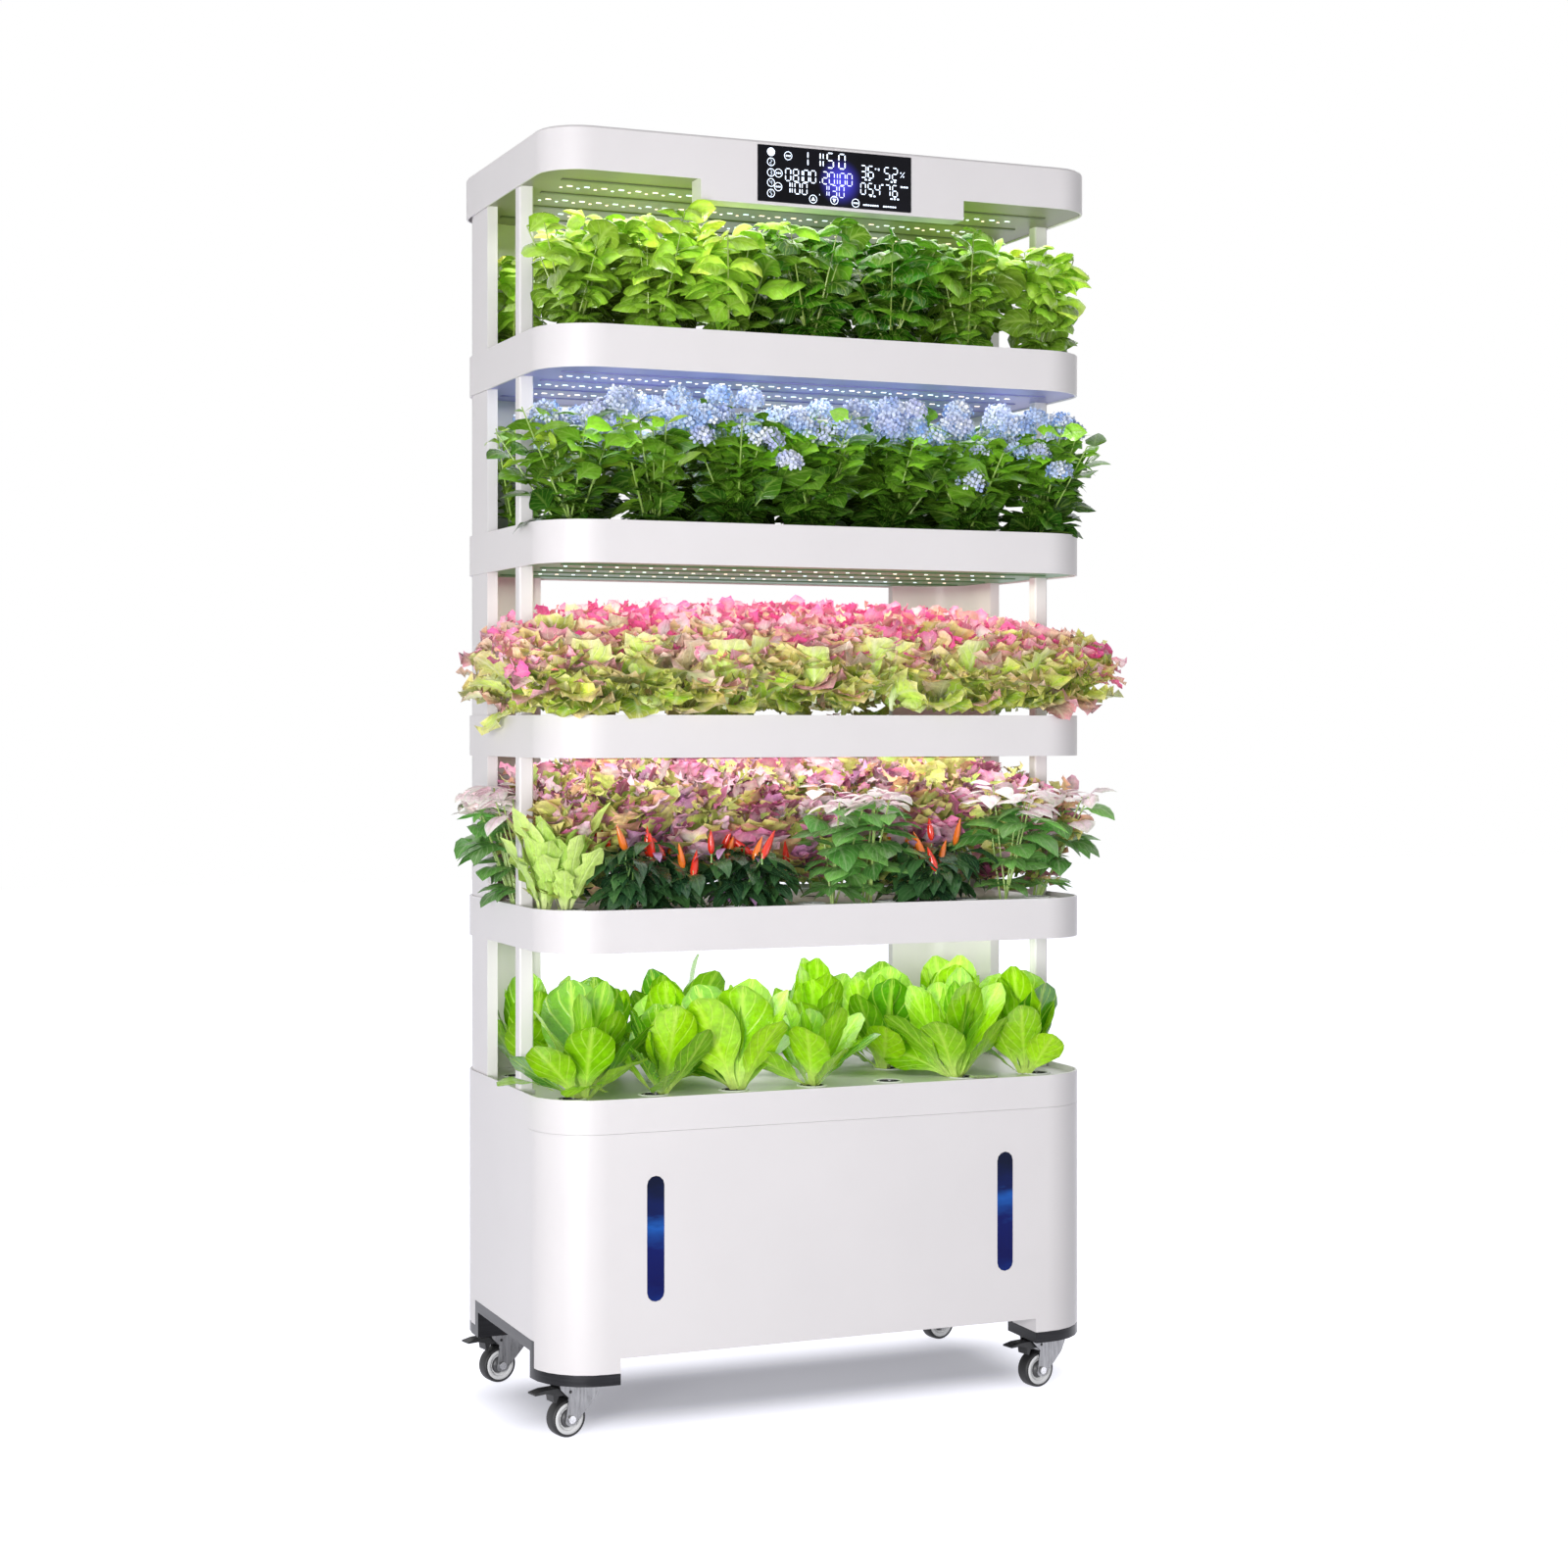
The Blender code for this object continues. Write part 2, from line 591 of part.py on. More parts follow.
def wheel_hub():
    rim_r = WHEEL_DIAMETER / 2 - TYRE_THICKNESS - GAP
    rim_half = TYRE_WIDTH / 2 - HUB_RIM_INSET
    web_half = HUB_WEB_WIDTH / 2
    boss_half = FORK_INSIDE / 2 - GAP
    bore_r = AXLE_R + GAP
    half = [(HUB_BOSS_R, boss_half), (rim_r - HUB_RIM_THICKNESS, web_half),
            (rim_r - HUB_RIM_THICKNESS, rim_half), (rim_r, rim_half)]
    profile = [(bore_r, boss_half)] + half
    profile = [(r, -z) for r, z in profile] + profile[::-1]
    return lay_along_y(turned(profile, HUB_STEPS, False))


def tyre():
    outer_r = WHEEL_DIAMETER / 2 / math.cos(math.pi / TYRE_STEPS)
    inner_r = (WHEEL_DIAMETER / 2 - TYRE_THICKNESS) / math.cos(math.pi / TYRE_STEPS)
    half = TYRE_WIDTH / 2
    profile = [(inner_r, -half), (outer_r - TYRE_SHOULDER, -half), (outer_r, -half + TYRE_SHOULDER),
               (outer_r, half - TYRE_SHOULDER), (outer_r - TYRE_SHOULDER, half), (inner_r, half)]
    return lay_along_y(turned(profile, TYRE_STEPS, False))


def brake_pedal():
    """Drawn about its pivot pin, whose ends turn in the fork."""
    outline = [(x * PEDAL_LENGTH, z * PEDAL_HEIGHT) for x, z in PEDAL_SHARES]
    piece = side_profile(outline, TYRE_WIDTH / 2)
    join(piece, cross_cylinder(0, 0, PEDAL_PIN_R, FORK_INSIDE / 2 + FORK_THICKNESS, PIN_STEPS))
    return piece


def empty(name, parent, location, turn):
    made = bpy.data.objects.new(name, None)
    bpy.context.scene.collection.objects.link(made)
    made.parent = parent
    made.location = location
    made.rotation_euler.z = turn
    return made


def make_casters():
    makers = [
        ("caster_mount", caster_mount(), ZINC, (0, 0, 0), False),
        ("caster_fork", caster_fork(), ZINC, (0, 0, 0), True),
        ("axle_bolt", axle_bolt(), ZINC, (-TRAIL, 0, AXLE_Z), True),
        ("wheel_hub", wheel_hub(), HUB_GREY, (-TRAIL, 0, AXLE_Z), True),
        ("tyre", tyre(), RUBBER, (-TRAIL, 0, AXLE_Z), True),
        ("brake_pedal", brake_pedal(), PEDAL_BLACK, (pedal_pivot()[0], 0, pedal_pivot()[1]), True),
    ]
    for label, piece, look, place, swivels in makers:
        finish(piece, label, look)
    corners = [("front_left", -1, -1), ("front_right", 1, -1), ("rear_left", -1, 1), ("rear_right", 1, 1)]
    for corner, side_x, side_y in corners:
        centre = (side_x * (HALF_WIDTH - CASTER_INSET_X), side_y * (HALF_DEPTH - CASTER_INSET_Y), 0)
        plate = empty("caster_place_" + corner, None, centre, 0)
        swivel = empty("caster_swivel_" + corner, plate, (0, 0, 0), SWIVEL_ANGLE)
        for label, piece, look, place, swivels in makers:
            made = bpy.data.objects.new(label + "_" + corner, piece.data)
            bpy.context.scene.collection.objects.link(made)
            made.parent = swivel if swivels else plate
            made.location = place
    for label, piece, look, place, swivels in makers:
        bpy.data.objects.remove(piece, do_unlink=True)


# Base and tank


def make_base_frame():
    top = ARCH_TOP_Z - GAP
    band_bottom = top - BAND
    foot_top = LEG_BOTTOM_Z - GAP
    front = -HALF_DEPTH + FRONT_LEG_DEPTH + GAP
    rear = HALF_DEPTH - REAR_LEG_DEPTH - GAP
    inner_front = front + BAND
    inner_rear = rear - BAND
    wide = HALF_WIDTH + OVERRUN
    deep = HALF_DEPTH + OVERRUN
    low = FOOT_BOTTOM_Z - OVERRUN
    high = top + OVERRUN
    gap_half = HALF_WIDTH - LEG_WIDTH
    piece = prism(body_outline(0), FOOT_BOTTOM_Z, top)
    cut(piece, box((-HALF_WIDTH + BAND_REACH, inner_front, low), (HALF_WIDTH - BAND_REACH, inner_rear, high)))
    cut(piece, box((-wide, -deep, foot_top), (wide, front, high)))
    cut(piece, box((-wide, rear, foot_top), (wide, deep, high)))
    cut(piece, box((-gap_half, -deep, low), (gap_half, deep, band_bottom)))
    cut(piece, box((-wide, inner_front, low), (wide, inner_rear, band_bottom)))
    stem_top = DISC_TOP_Z + STEM_LENGTH + GAP
    stems = [cylinder((sx * (HALF_WIDTH - CASTER_INSET_X), sy * (HALF_DEPTH - CASTER_INSET_Y)),
                      STEM_R + GAP, low, stem_top, PIN_STEPS) for sx in (-1, 1) for sy in (-1, 1)]
    cut(piece, merge_bodies(stems))
    finish(piece, "base_frame", GUNMETAL)


def stadium_outline(width, height):
    """A slot outline in (x, z), centred, with round ends."""
    radius = width / 2
    straight = height / 2 - radius
    upper = arc((0, straight), radius, 0, math.pi, WINDOW_STEPS)
    lower = arc((0, -straight), radius, math.pi, math.tau, WINDOW_STEPS)
    return upper + lower


def standing_prism(outline, x, z, low_y, high_y):
    """An (x, z) outline drawn out along Y from low_y to high_y, with its centre at x, z."""
    piece = prism([(px + x, pz + z) for px, pz in outline], -high_y, -low_y)
    move(piece, Matrix.Rotation(math.pi / 2, 4, "X"))
    return piece


def window_middle_z():
    return LEG_BOTTOM_Z + WINDOW_RISE + WINDOW_HEIGHT / 2


def slanted_block(shift, behind):
    """The space before or behind the fascia's slanted ends, as wide as the body."""
    slope = (FASCIA_REACH_TOP - FASCIA_REACH_BOTTOM) / FASCIA_HEIGHT
    low_z = FASCIA_BOTTOM_Z
    high_z = RIM_Z + OVERRUN
    low_y = -HALF_DEPTH + FASCIA_REACH_BOTTOM + shift
    high_y = low_y + slope * (high_z - low_z)
    if behind:
        under_z = low_z - OVERRUN
        far = HALF_DEPTH + OVERRUN
        outline = [(low_y - slope * OVERRUN, under_z), (far, under_z), (far, high_z), (high_y, high_z)]
    else:
        far = -HALF_DEPTH - OVERRUN
        outline = [(far, low_z), (low_y, low_z), (high_y, high_z), (far, high_z)]
    wide = HALF_WIDTH + OVERRUN
    piece = prism(outline, -wide, wide)
    move(piece, Matrix(((0, 0, 1, 0), (1, 0, 0, 0), (0, 1, 0, 0), (0, 0, 0, 1))))
    return piece


def make_tank():
    wide = HALF_WIDTH + OVERRUN
    deep = HALF_DEPTH + OVERRUN
    low = LEG_BOTTOM_Z - OVERRUN
    gap_half = HALF_WIDTH - LEG_WIDTH
    arch_front = -HALF_DEPTH + FRONT_LEG_DEPTH
    arch_rear = HALF_DEPTH - REAR_LEG_DEPTH
    piece = prism(body_outline(0), LEG_BOTTOM_Z, RIM_Z)
    cut(piece, prism(body_outline(WALL), FLOOR_TOP_Z, RIM_Z + OVERRUN))
    cut(piece, box((-gap_half, -deep, low), (gap_half, deep, SKIRT_BOTTOM_Z)))
    cut(piece, box((-wide, arch_front, low), (wide, arch_rear, ARCH_TOP_Z)))
    inner_y = HALF_DEPTH - WALL
    cut(piece, box((-gap_half + WALL, -inner_y, low), (gap_half - WALL, inner_y, FLOOR_BOTTOM_Z)))
    for side in (-1, 1):
        near, far = sorted((side * (gap_half + WALL), side * wide))
        for low_y, high_y in ((-deep, arch_front - WALL), (arch_rear + WALL, deep)):
            pocket = prism(body_outline(WALL), low, FLOOR_BOTTOM_Z)
            boolean(pocket, box((near, low_y, low - OVERRUN), (far, high_y, FLOOR_BOTTOM_Z + OVERRUN)), "INTERSECT")
            cut(piece, pocket)
    cut(piece, slanted_block(0, False))
    add_tank_ribs(piece)
    slot = stadium_outline(WINDOW_WIDTH, WINDOW_HEIGHT)
    for side in (-1, 1):
        cut(piece, standing_prism(slot, side * WINDOW_X, window_middle_z(),
                                  -HALF_DEPTH - OVERRUN, -HALF_DEPTH + OVERRUN))
    finish(piece, "water_tank", WHITE)


def add_tank_ribs(piece):
    """Ribs on the side walls that carry the deck under the posts and the columns."""
    rib_low = FLOOR_TOP_Z - WALL / 2
    rib_high = DECK_BOTTOM_Z - GAP
    wall_middle = HALF_WIDTH - WALL / 2
    post_middle = (POST_FRONT_Y + POST_REAR_Y) / 2
    for side in (-1, 1):
        for middle in (post_middle, COLUMN_FRONT_Y + RIB_LENGTH):
            near, far = sorted((side * (wall_middle - RIB_DEPTH), side * wall_middle))
            join(piece, box((near, middle - RIB_LENGTH / 2, rib_low), (far, middle + RIB_LENGTH / 2, rib_high)))


def make_windows():
    for side, label in ((-1, "left"), (1, "right")):
        x = side * WINDOW_X
        pane = stadium_outline(WINDOW_WIDTH - 2 * GAP, WINDOW_HEIGHT - 2 * GAP)
        flange = stadium_outline(WINDOW_WIDTH + 2 * WINDOW_FLANGE, WINDOW_HEIGHT + 2 * WINDOW_FLANGE)
        back = -HALF_DEPTH + SHELL_INSET
        piece = standing_prism(flange, x, window_middle_z(), back, back + WINDOW_FLANGE_THICKNESS)
        join(piece, standing_prism(pane, x, window_middle_z(), -HALF_DEPTH + GAP, back + GAP))
        finish(piece, "sight_window_" + label, WATER_BLUE)


def make_deck():
    """The tier over the tank: a holed plate with a front fascia that wraps both front corners."""
    piece = prism(body_outline(0), FASCIA_BOTTOM_Z + GAP, RIM_Z)
    cut(piece, prism(body_outline(WALL), DECK_TOP_Z, RIM_Z + OVERRUN))
    cut(piece, prism(body_outline(WALL), FASCIA_BOTTOM_Z - OVERRUN, DECK_BOTTOM_Z))
    behind = slanted_block(-GAP, True)
    cut(behind, prism(body_outline(SHELL_INSET), FASCIA_BOTTOM_Z - 2 * OVERRUN, RIM_Z + 2 * OVERRUN))
    cut(piece, behind)
    cut(piece, planting_holes(DECK_BOTTOM_Z - OVERRUN, DECK_TOP_Z + OVERRUN))
    cut_pipe(piece, DECK_BOTTOM_Z - OVERRUN, DECK_TOP_Z + OVERRUN)
    finish(piece, "deck_tray", WHITE)


# Trays


def make_tray():
    piece = prism(body_outline(0), 0, TRAY_HEIGHT)
    cut(piece, prism(body_outline(WALL), WEB_TOP, TRAY_HEIGHT + OVERRUN))
    cut(piece, prism(body_outline(WALL), -OVERRUN, WEB_BOTTOM))
    trough = board_outline(TROUGH_MARGIN, SMALL_CORNER_STEPS)
    hollow = board_outline(TROUGH_MARGIN + WALL, SMALL_CORNER_STEPS)
    join(piece, prism(trough, TROUGH_FLOOR_RISE, WEB_BOTTOM + WALL / 2))
    cut(piece, prism(hollow, TROUGH_FLOOR_RISE + WALL, TRAY_HEIGHT + OVERRUN))
    cut_posts(piece, WEB_BOTTOM - OVERRUN, WEB_TOP + OVERRUN)
    cut_columns(piece, WEB_BOTTOM - OVERRUN, WEB_TOP + OVERRUN)
    cut_pipe(piece, WEB_BOTTOM - OVERRUN, WEB_TOP + OVERRUN)
    return piece


def make_board():
    piece = prism(board_outline(0), BOARD_BOTTOM, BOARD_TOP)
    cut(piece, planting_holes(BOARD_BOTTOM - OVERRUN, BOARD_TOP + OVERRUN))
    return piece


def make_lamp_plate(bottom, front_r):
    high = bottom + LAMP_PLATE_THICKNESS
    piece = prism(body_outline(SHELL_INSET, front_r), bottom, high)
    cut_posts(piece, bottom - OVERRUN, high + OVERRUN)
    cut_columns(piece, bottom - OVERRUN, high + OVERRUN)
    return piece


def make_trays():
    tray = finish(make_tray(), "grow_tray_2", WHITE)
    board = finish(make_board(), "planting_board_2", BOARD_WHITE)
    lamps = make_lamp_plate(LAMP_PLATE_RISE, BODY_CORNER_R)
    cut_pipe(lamps, LAMP_PLATE_RISE - OVERRUN, LAMP_PLATE_RISE + LAMP_PLATE_THICKNESS + OVERRUN)
    finish(lamps, "lamp_plate_2", LAMP_WHITE)
    kinds = [(tray, "grow_tray_", WHITE), (board, "planting_board_", BOARD_WHITE), (lamps, "lamp_plate_", LAMP_WHITE)]
    for piece, label, look in kinds:
        piece.location.z = TRAY_BOTTOMS[0]
        for tier in range(1, TRAY_COUNT):
            copy_piece(piece, label + str(tier + 2), look, tier * TRAY_PITCH)


# Posts and columns


def make_posts():
    for side, label in ((-1, "left"), (1, "right")):
        foot = DECK_TOP_Z + GAP
        piece = prism(post_outline(side, 0), foot, FRAME_TOP_Z)
        low = (POST_INNER_X - COLLAR_MARGIN, POST_FRONT_Y - COLLAR_MARGIN)
        high = (POST_OUTER_X, POST_REAR_Y + COLLAR_MARGIN)
        collar = mirror_plan(rounded_box_outline(low, high, [POST_CORNER_R] * 4, 1), side)
        join(piece, prism(collar, foot, foot + COLLAR_HEIGHT))
        finish(piece, "front_post_" + label, WHITE)


def make_columns():
    for side, label in ((-1, "left"), (1, "right")):
        piece = prism(column_outline(side, 0), DECK_TOP_Z + GAP, FRAME_TOP_Z)
        finish(piece, "rear_column_" + label, WHITE)


# Hood


def display_outline(grow):
    """The display's low and high corner in (x, z), grown on all sides."""
    low_z = POD_BOTTOM_Z + DISPLAY_RISE
    half = DISPLAY_WIDTH / 2 + grow
    return (-half, low_z - grow), (half, low_z + DISPLAY_HEIGHT + grow)


def inlet_box(grow, front_y, rear_y):
    """A box through the hood's rear wall about the middle of the power inlet."""
    middle_z = HOOD_BOTTOM_Z + INLET_RISE
    half_x = INLET_WIDTH / 2 + grow
    half_z = INLET_HEIGHT / 2 + grow
    return box((INLET_X - half_x, front_y, middle_z - half_z), (INLET_X + half_x, rear_y, middle_z + half_z))


def make_pod_shell():
    """A box under the middle of the hood's front, open behind and on top."""
    half = POD_WIDTH / 2
    front = -HALF_DEPTH
    rear = front + POD_DEPTH
    top = HOOD_BOTTOM_Z + HOOD_EDGE
    shell = box((-half, front, POD_BOTTOM_Z), (half, rear, top))
    cut(shell, box((-half + WALL, front + WALL, POD_BOTTOM_Z + WALL), (half - WALL, rear + OVERRUN, top + OVERRUN)))
    return shell


def make_hood():
    piece = stack([(hood_outline(0), HOOD_BOTTOM_Z), (hood_outline(0), HOOD_TOP_Z - HOOD_EDGE),
                   (hood_outline(HOOD_EDGE), HOOD_TOP_Z)])
    cut(piece, prism(hood_outline(WALL), HOOD_BOTTOM_Z - OVERRUN, HOOD_CEILING_Z))
    join(piece, make_pod_shell())
    low, high = display_outline(GAP)
    cut(piece, box((low[0], -HALF_DEPTH - OVERRUN, low[1]), (high[0], -HALF_DEPTH + OVERRUN, high[1])))
    cut(piece, inlet_box(GAP, HALF_DEPTH - OVERRUN, HALF_DEPTH + OVERRUN))
    rib_low = HOOD_BOTTOM_Z + LAMP_PLATE_RISE + LAMP_PLATE_THICKNESS + GAP
    for side in (-1, 1):
        y = side * HOOD_RIB_SPACING / 2
        join(piece, box((-HOOD_RIB_LENGTH / 2, y - WALL / 2, rib_low),
                        (HOOD_RIB_LENGTH / 2, y + WALL / 2, HOOD_CEILING_Z + WALL / 2)))
    finish(piece, "hood", WHITE)


def make_hood_lamp_plate():
    bottom = HOOD_BOTTOM_Z + LAMP_PLATE_RISE
    piece = make_lamp_plate(bottom, HOOD_CORNER_R)
    half = POD_WIDTH / 2 + GAP
    cut(piece, box((-half, -HALF_DEPTH - OVERRUN, bottom - OVERRUN),
                   (half, -HALF_DEPTH + POD_DEPTH + GAP, bottom + LAMP_PLATE_THICKNESS + OVERRUN)))
    finish(piece, "lamp_plate_hood", LAMP_WHITE)


def make_display_and_controller():
    low, high = display_outline(0)
    front = -HALF_DEPTH - DISPLAY_PROUD
    back = front + DISPLAY_THICKNESS
    display = box((low[0], front, low[1]), (high[0], back, high[1]))
    finish(display, "control_display", SCREEN)
    near = max(back, -HALF_DEPTH + WALL) + GAP
    seat = POD_BOTTOM_Z + WALL + GAP
    controller = box((-CONTROLLER_WIDTH / 2, near, seat),
                     (CONTROLLER_WIDTH / 2, near + CONTROLLER_DEPTH, seat + CONTROLLER_HEIGHT))
    finish(controller, "controller_box", DARK_PLASTIC)


def make_power_inlet():
    inside = HALF_DEPTH - WALL - INLET_DEPTH
    outside = HALF_DEPTH + GAP
    face = outside + INLET_FLANGE_THICKNESS
    piece = inlet_box(0, inside, outside + INLET_FLANGE_THICKNESS / 2)
    join(piece, inlet_box(INLET_FLANGE, outside, face))
    cut(piece, inlet_box(-INLET_WALL, inside + INLET_WALL, face + OVERRUN))
    finish(piece, "power_inlet", DARK_PLASTIC)


# Pump and riser pipe


def make_pump():
    rear = PIPE_Y + PUMP_NECK_R + WALL
    low = (PIPE_X - PUMP_WIDTH / 2, rear - PUMP_DEPTH)
    high = (PIPE_X + PUMP_WIDTH / 2, rear)
    seat = FLOOR_TOP_Z + GAP
    top = seat + PUMP_HEIGHT
    piece = prism(rounded_box_outline(low, high, [PUMP_CORNER_R] * 4, SMALL_CORNER_STEPS), seat, top)
    join(piece, cylinder((PIPE_X, PIPE_Y), PUMP_NECK_R, top - WALL, top + PUMP_NECK_HEIGHT, PIN_STEPS))
    finish(piece, "circulation_pump", DARK_PLASTIC)


def spout_height():
    return TRAY_BOTTOMS[-1] + BOARD_TOP + PIPE_OVER_BOARD


def tube_along(route, outer_r, inner_r, steps):
    """An open tube along a route in the Y, Z plane."""
    points = []
    count = len(route)
    for index, place in enumerate(route):
        before = route[max(index - 1, 0)]
        after = route[min(index + 1, count - 1)]
        tangent = (Vector(after) - Vector(before)).normalized()
        side = Vector((1, 0, 0))
        up = tangent.cross(side)
        for radius in (outer_r, inner_r):
            for k in range(steps):
                angle = math.tau * (k + 0.5) / steps
                points.append(Vector(place) + radius * (math.cos(angle) * side + math.sin(angle) * up))
    faces = []
    row = 2 * steps
    for index in range(count - 1):
        low, high = index * row, (index + 1) * row
        for k in range(steps):
            after = (k + 1) % steps
            faces.append((low + k, low + after, high + after, high + k))
            faces.append((low + steps + after, low + steps + k, high + steps + k, high + steps + after))
    last = (count - 1) * row
    for k in range(steps):
        after = (k + 1) % steps
        faces.append((after, k, steps + k, steps + after))
        faces.append((last + k, last + after, last + steps + after, last + steps + k))
    return new_object("tube", points, faces)


def make_riser_pipe():
    foot = FLOOR_TOP_Z + GAP + PUMP_HEIGHT + PUMP_NECK_HEIGHT + GAP
    bend_y = PIPE_Y - PIPE_BEND_R
    bend_z = spout_height() - PIPE_BEND_R
    bend = [(PIPE_X, y, z) for y, z in arc((bend_y, bend_z), PIPE_BEND_R, 0, math.pi / 2, PIPE_STEPS // 2)]
    route = [(PIPE_X, PIPE_Y, foot)] + bend + [(PIPE_X, bend_y - PIPE_SPOUT_LENGTH, spout_height())]
    finish(tube_along(route, PIPE_R, PIPE_BORE_R, PIPE_STEPS), "riser_pipe", PIPE_GREY)


# Crops


def crop_ring(side, front, rear, lump, phase):
    """A lumpy rounded outline of leaves seen from above, by its reach to the sides, the front and the rear."""
    outline = []
    middle_y = (rear - front) / 2
    half_y = (rear + front) / 2
    for k in range(CROP_POINTS):
        angle = math.tau * k / CROP_POINTS
        swell = 1 + lump * math.sin(CROP_LUMPS * angle + phase)
        x = math.copysign(abs(math.cos(angle)) ** CROP_SQUARENESS, math.cos(angle)) * swell
        y = math.copysign(abs(math.sin(angle)) ** CROP_SQUARENESS, math.sin(angle)) * swell
        outline.append((side * max(-1, min(1, x)), middle_y + half_y * max(-1, min(1, y))))
    return outline


def crop_body(tier, board_top, rim, top):
    """The leaves of one tier as one mound, narrow inside the rim and wide above it."""
    source = random.Random(tier + 1)
    low = rim + CROP_RIM_CLEARANCE
    rings = [(share, side * HALF_WIDTH, front * HALF_DEPTH, rear * HALF_DEPTH)
             for share, side, front, rear in CROP_OUTLINE_SHARES[tier]]
    _, side, front, rear = rings[0]
    most = (BOARD_HALF_WIDTH - CROP_FOOT_MARGIN, -BOARD_FRONT_Y - CROP_FOOT_MARGIN, BOARD_REAR_Y - CROP_FOOT_MARGIN)
    points = [(x, y, board_top + GAP) for x, y in crop_ring(*most, 0, 0)]
    neck = crop_ring(min(side, most[0]), min(front, most[1]), min(rear, most[2]), 0, 0)
    points += [(x, y, low) for x, y in neck]
    for level, (height_share, side, front, rear) in enumerate(rings):
        ring = crop_ring(side, front, rear, CROP_SIDE_LUMP_SHARE, source.uniform(0, math.tau))
        for x, y in ring:
            lump = source.uniform(-1, 1) * CROP_TOP_LUMP_SHARE * (top - low) * min(1, level / 2)
            points.append((x, y, min(top, low + height_share * (top - low) + lump)))
    rows = 2 + len(rings)
    points.append((0, (rings[-1][3] - rings[-1][2]) / 2, top))
    faces = [tuple(reversed(range(CROP_POINTS)))]
    for row in range(rows - 1):
        start = row * CROP_POINTS
        for k in range(CROP_POINTS):
            after = (k + 1) % CROP_POINTS
            faces.append((start + k, start + after, start + CROP_POINTS + after))
            faces.append((start + k, start + CROP_POINTS + after, start + CROP_POINTS + k))
    start = (rows - 1) * CROP_POINTS
    faces += [(start + k, start + (k + 1) % CROP_POINTS, len(points) - 1) for k in range(CROP_POINTS)]
    return new_object("crop", points, faces)


def swells(rim, top):
    """The plants that stand out of the mixed crop, each a rounded body wider than its foot."""
    low = rim + CROP_RIM_CLEARANCE
    made = []
    for across, in_depth, reach, height in SWELL_SHARES:
        form = [(reach * HALF_DEPTH * wide, low + height * (top - low) * high) for wide, high in SWELL_FORM_SHARES]
        swell = turned(form, SWELL_STEPS, True)
        move(swell, Matrix.Translation((across * HALF_WIDTH, in_depth * HALF_DEPTH, 0)))
        made.append(swell)
    return made


def rear_corner_outline(side):
    """The space of a rear column and all that lies outside it, stepped round its inner corner."""
    far_x = CROP_REACH_X + OVERRUN
    far_y = CROP_REACH_Y + OVERRUN
    inner_r = BODY_CORNER_R - SHELL_INSET - COLUMN_THICKNESS
    centre_x = HALF_WIDTH - BODY_CORNER_R
    centre_y = HALF_DEPTH - BODY_CORNER_R
    step_x = centre_x + inner_r * math.cos(math.pi / 4) - GAP
    step_y = centre_y + inner_r * math.sin(math.pi / 4) - GAP
    inner_x = COLUMN_INNER_X - GAP
    inner_y = COLUMN_INNER_Y - GAP
    outline = [
        (COLUMN_BACK_X - GAP, far_y), (COLUMN_BACK_X - GAP, inner_y), (centre_x - GAP, inner_y),
        (centre_x - GAP, step_y), (step_x, step_y), (step_x, centre_y - GAP), (inner_x, centre_y - GAP),
        (inner_x, COLUMN_FRONT_Y - GAP), (far_x, COLUMN_FRONT_Y - GAP), (far_x, far_y),
    ]
    return mirror_plan(outline, side)


def clear_crop(piece, low, high, has_spout):
    """Cuts a crop clear of the posts, the columns and the riser pipe."""
    cut_posts(piece, low, high)
    for side in (-1, 1):
        cut(piece, prism(rear_corner_outline(side), low, high))
    if has_spout:
        room = PIPE_R + POT_CLEARANCE
        front = PIPE_Y - PIPE_BEND_R - PIPE_SPOUT_LENGTH - POT_CLEARANCE
        far_y = CROP_REACH_Y + OVERRUN
        cut(piece, box((PIPE_X - room, front, low), (PIPE_X + room, far_y, spout_height() + room)))
    else:
        cut_pipe(piece, low, high)


def make_crops():
    floors = [DECK_TOP_Z] + [bottom + BOARD_TOP for bottom in TRAY_BOTTOMS]
    rims = [RIM_Z] + [bottom + TRAY_HEIGHT for bottom in TRAY_BOTTOMS]
    ceilings = TRAY_BOTTOMS + [POD_BOTTOM_Z]
    for tier, (floor, rim, ceiling) in enumerate(zip(floors, rims, ceilings)):
        top = ceiling - CROP_HEADROOMS[tier]
        piece = crop_body(tier, floor, rim, top)
        pots = []
        for x, y in hole_places():
            pot = turned([(POT_BOTTOM_R, floor - POT_DEPTH), (POT_TOP_R, floor + WALL)], POT_STEPS, True)
            move(pot, Matrix.Translation((x, y, 0)))
            pots.append(pot)
        join(piece, merge_bodies(pots))
        if tier == MIXED_TIER:
            for swell in swells(rim, top):
                join(piece, swell)
        clear_crop(piece, rim, top + OVERRUN, tier == TRAY_COUNT)
        finish(piece, CROP_NAMES[tier], CROP_COLOURS[tier])


clear_scene()
make_casters()
make_base_frame()
make_tank()
make_windows()
make_deck()
make_trays()
make_posts()
make_columns()
make_hood()
make_hood_lamp_plate()
make_display_and_controller()
make_power_inlet()
make_pump()
make_riser_pipe()
make_crops()
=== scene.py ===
"""Looks of the vertical hydroponic tower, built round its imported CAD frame.

Metres, +Z up, the front faces -Y. Tiers count from 1, the lowest, to 5. Everything that grows is made of
real leaf surfaces.
"""

import itertools
import math

import bpy
import numpy as np
from mathutils import Matrix, Vector


